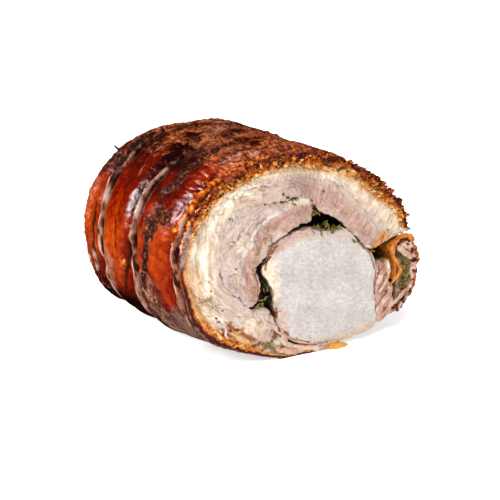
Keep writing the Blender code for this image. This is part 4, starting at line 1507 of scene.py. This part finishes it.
# Torn strands of meat: points of (across, forward of the cut, up), half width and half thickness.
MEAT_STRANDS = (
    (((60, 0, 47), (57, 0.6, 43), (54.5, 0.6, 38), (53, -0.6, 32)), 1.7, 0.8),
    (((63, -0.4, 44), (60.5, 0.9, 39), (58, 0.8, 34), (55, -0.6, 29)), 1.1, 0.8),
    (((65, -0.6, 33), (61.5, 1.0, 28), (57.4, 0.8, 22.5), (53, -0.6, 17)), 2.0, 0.8),
    (((66, -0.6, 25), (63, 1.0, 20.5), (59, 0.6, 16), (55, -0.6, 12.5)), 1.4, 0.8),
    (((77, -0.6, 29), (72, 1.0, 26), (67, 0.8, 22), (63, -0.6, 19)), 1.5, 0.8),
    (((78, -0.6, 24), (74, 0.8, 21.5), (70, 0.6, 18), (66, -0.6, 15.4)), 1.1, 0.7),
    (((68, -0.6, 57), (72, 0.8, 54), (76, 0.8, 51), (80, -0.6, 48)), 1.9, 0.8),
    (((-52, -0.4, 26.5), (-54.4, 1.0, 24.5), (-54.6, 1.2, 21.5), (-52, -0.4, 18)), 0.8, 0.8),
    (((-24, -0.6, 9), (-16, 0.6, 5.5), (-8, 0.8, 3.4), (2, -0.6, 3)), 1.8, 0.9),
    (((-10, -0.6, 7), (-2, 0.8, 4.6), (6, 0.8, 3), (13, -0.6, 3.6)), 1.5, 0.8),
    (((2, -0.6, 4), (9, 1.0, 2.2), (15, 1.2, 2.2), (18, 0.2, 5.6)), 1.5, 0.9),
    (((-21, -0.8, 20), (-16.5, -0.8, 15.6), (-13.4, -0.8, 12), (-12, -1.4, 8)), 1.3, 0.7),
    (((-17, -1.2, 19), (-11.4, -0.8, 12.6), (-6, -1.0, 9), (-2, -1.6, 6.6)), 0.9, 0.6),
    (((-9, -1.2, 11.6), (-3, -0.9, 7.8), (4, -1.0, 5.6), (12, -1.2, 4.4)), 0.9, 0.6),
)
# Folds of half melted crust at the lower left, in the same terms.
CRUST_FOLDS = (
    (((-64, -0.4, 25), (-60, 1.2, 24), (-57.6, 1.4, 20.6), (-53, -0.2, 20)), 1.1, 0.7),
    (((-58, -0.4, 17.4), (-54, 1.2, 18.6), (-50, 1.2, 16), (-46.6, -0.2, 17.6)), 1.2, 0.7),
    (((-50, -0.4, 12.8), (-46, 1.2, 14.6), (-42, 1.2, 12), (-38, -0.2, 13)), 1.1, 0.7),
    (((-41, -0.4, 9.2), (-37, 1.0, 11), (-33, 1.0, 8.6), (-29, -0.2, 9.6)), 0.9, 0.6),
    (((-70, -0.4, 32), (-67, 1.0, 30), (-66, 1.0, 27), (-62, -0.2, 27)), 0.9, 0.6),
    (((-50, -0.6, 24.6), (-48, 0.8, 22), (-45, 0.8, 22), (-43, -0.4, 19)), 0.8, 0.5),
)
# Thin ribbons of amber rind, in the same terms and with their twist in degrees.
RIND_RIBBONS = (
    (((47, 0, 58.5), (51, 1.4, 60.6), (54.4, 2.2, 64.6), (57, 1.2, 69)), 1.0, 0.45, 50),
    (((72, 0.4, 63), (67, 2.2, 61.6), (63.6, 3.2, 57.4), (62.8, 3.6, 52.4), (66, 3.4, 47.4),
      (68.6, 3.2, 42.8), (65.8, 3.0, 38.6), (61, 1.6, 33.4)), 0.95, 0.45, 120),
    (((66, 0.4, 62), (71, 1.6, 63.6), (76, 1.4, 63), (81, 0.4, 58.5)), 1.5, 0.8, 30),
)


# How many crumbs are drawn for the crust, their seed, and the height in mm below which the
# melted crust has none.
CRUMBS = 360
CRUMB_SEED = 8
CRUMB_FREE_UP = 26.0


def crust_crumbs():
    """Crumbs and flakes broken from the crust, lying along its cut edge."""
    chance = random.Random(CRUMB_SEED)
    rim = rim_line(236.0, 8.0)
    edge = curve_through(CRUST_LINE)
    makers = []
    for _ in range(CRUMBS):
        outer = along(rim, np.array([chance.uniform(0.28, 0.98)]))[0]
        inner = edge[np.linalg.norm(edge - outer, axis=1).argmin()]
        share = chance.uniform(0.0, 1.0)
        place = inner + (outer - inner) * share
        if drawn(place[None], SHEEN_PATCH)[0] > 0.2 or place[1] < CRUMB_FREE_UP:
            continue
        turn = Vector([chance.uniform(-1, 1) for _ in range(3)]).to_track_quat("Z", "Y")
        size = chance.uniform(0.9, 2.2) + 2.6 * chance.random() ** 3
        spot = (place[0], -chance.uniform(-0.4, 2.0), place[1])
        toast = 0.1 + share * 0.65 + chance.uniform(-0.2, 0.3)
        stretch = (1.3, chance.uniform(0.5, 0.9), chance.uniform(0.2, 0.5))
        makers.append(crumb_at(spot, size, stretch, turn, toast))
    makers += [strand(*made, seed) for seed, made in enumerate(CRUST_FOLDS)]
    makers += scattered(KNOB_SPOTS, 3.6, (1.3, 0.8, 0.5), 12, -0.4, 0.6, 0.85)
    flake = Vector((-0.7, 0.2, 0.6)).to_track_quat("Y", "Z")
    makers.append(crumb_at(on_roll(142, 104, 2.2), 5.0, (0.5, 1.3, 0.25), flake, 1.1))
    makers.append(crumb_at(on_roll(190, 131, 0.8), 6.0, (0.8, 1.0, 0.3), flake, 0.0))
    return makers


# The pool of juice, in mm: its middle and half sizes as (across, backwards), and how thick it
# is at its edge and how much thicker in its middle.
JUICE_PLACE = (23.5, 1.0)
JUICE_REACH = (9.5, 4.0)
JUICE_EDGE = 0.05
JUICE_THICK = 2.4


def puddle(juice):
    """A little juice run out under the loin, thin on the surface it rests on."""
    shape = bmesh.new()
    bmesh.ops.create_grid(shape, x_segments=40, y_segments=16, size=0.5)
    for vertex in shape.verts:
        across, along_it = vertex.co.x * 2, vertex.co.y * 2
        square = max(abs(across), abs(along_it))
        squeeze = square / max(math.hypot(across, along_it), 1e-6)
        toward = Vector((across, along_it, 0)).normalized()
        reach = squeeze * (1 + 0.35 * noise.fractal(toward * 1.2, 1.0, 2.0, 2))
        x = JUICE_PLACE[0] + across * reach * JUICE_REACH[0]
        y = JUICE_PLACE[1] + along_it * reach * JUICE_REACH[1]
        up = JUICE_EDGE + JUICE_THICK * (1 - square ** 2) ** 0.6
        vertex.co = Vector(np.array((x, y, up)) * MM + SHIFT)
    piece = shown("juice", mesh_from(shape, "juice"), juice)
    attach(piece, "root")
    return piece


# ---------------------------------------------------------------------------------------------
# Studio

# The photographed view: degrees to the side and above, the place looked at in mm, metres away,
# and the lens and the film in mm.
SIDE = -31.5
ABOVE = 14.5
LOOKED_AT = (-38.0, 0.0, 69.0)
AWAY = 0.618
LENS = 79.2
FILM = 36.0
# Strength of the surroundings, and power, softness in degrees and direction of the sun.
SURROUNDINGS = 0.42
SUN = 2.2
SUN_SOFTNESS = 18.0
SUN_FROM = (-0.44, -0.55, 0.71)


def camera():
    """Camera at the photographed angle: a little above, to the left of the cut."""
    side, above = math.radians(SIDE), math.radians(ABOVE)
    target = Vector(np.array(LOOKED_AT) * MM + SHIFT)
    away = Vector((
        math.sin(side) * math.cos(above), -math.cos(side) * math.cos(above), math.sin(above)))
    lens = bpy.data.cameras.new("camera")
    lens.lens = LENS
    lens.sensor_width = FILM
    lens.clip_start = 0.01
    lens.clip_end = 100.0
    eye = bpy.data.objects.new("camera", lens)
    eye.location = target + away * AWAY
    eye.rotation_euler = (-away).to_track_quat("-Z", "Y").to_euler()
    bpy.context.scene.collection.objects.link(eye)
    bpy.context.scene.camera = eye


def softbox(name, direction, distance, sides, power):
    """A white area light that looks at the middle of the roast; sides are width and height."""
    lamp = bpy.data.lights.new(name, "AREA")
    lamp.shape = "RECTANGLE"
    lamp.size, lamp.size_y = sides
    lamp.energy = power
    middle = Vector((0, 0, CENTRE_UP * MM))
    light = bpy.data.objects.new(name, lamp)
    light.location = middle + Vector(direction).normalized() * distance
    light.rotation_euler = (middle - light.location).to_track_quat("-Z", "Y").to_euler()
    bpy.context.scene.collection.objects.link(light)


def studio():
    """White floor, white surroundings, a soft sun and a softbox that the skin mirrors.

    The floor, the sun and the surroundings are not mirrored, so that the lacquer keeps its
    colour.
    """
    shape = bmesh.new()
    bmesh.ops.create_grid(shape, x_segments=1, y_segments=1, size=15.0)
    floor = shown("floor", mesh_from(shape, "floor"), floor_paint())
    world = bpy.data.worlds.new("studio")
    world.use_nodes = True
    backdrop = world.node_tree.nodes["Background"]
    backdrop.inputs["Color"].default_value = linear("#FFFFFF")
    backdrop.inputs["Strength"].default_value = SURROUNDINGS
    world.cycles_visibility.glossy = False
    floor.visible_glossy = False
    bpy.context.scene.world = world
    bpy.context.scene.view_settings.view_transform = "Standard"
    key = bpy.data.lights.new("key", "SUN")
    key.energy = SUN
    key.angle = math.radians(SUN_SOFTNESS)
    sun = bpy.data.objects.new("key", key)
    sun.rotation_euler = Vector(SUN_FROM).to_track_quat("Z", "Y").to_euler()
    sun.visible_glossy = False
    bpy.context.scene.collection.objects.link(sun)
    softbox("window", (-0.81, 0.03, 0.59), 0.9, (0.17, 0.46), 12.0)


# ---------------------------------------------------------------------------------------------
# The roast in its studio

camera()
studio()
glossy_look = roasted_skin("roasted_rind", 0.3, 0.16)
matt_look = roasted_skin("matt_rind", 0.05, 0.0)
crust_look = broken_crust()
belly_look = cut_meat("sliced_belly", ("#AC9384", "#C2AB9D", "#D5C5B9"))
seam_look = cut_meat("seam_strips", ("#9A6A54", "#C69C88", "#E4CABA"))
herb_look = herb_paste()
amber_look = orange_rind()
crackling(glossy_look, crust_look, matt_look)
belly_slab(belly_look)
belly_turn(belly_look)
loin(loin_meat())
seam_meat(seam_look)
belly_end(glossy_look, seam_look, matt_look)
rind_strip(amber_look)
for side in STUFFING:
    stuffing(side, herb_look)
join_small("herb_bits", scattered(HERB_SPOTS, 2.6, (1.3, 0.35, 0.2), 3),
           leaf("olive_herb", "#4A4312", "#8A7A2E"))
join_small("dark_bits", scattered(DARK_SPOTS, 1.3, (1.0, 0.7, 0.5), 5),
           leaf("roasted_herb", "#140B06", "#3A2210"))
join_small("crust_crumbs", crust_crumbs(), crust_look)
join_small("meat_strands", [strand(*made, seed) for seed, made in enumerate(MEAT_STRANDS)],
           seam_look)
join_small("rind_ribbons", [strand(*made[:3], seed, made[3])
                            for seed, made in enumerate(RIND_RIBBONS)], amber_look)
puddle(meat_juice())
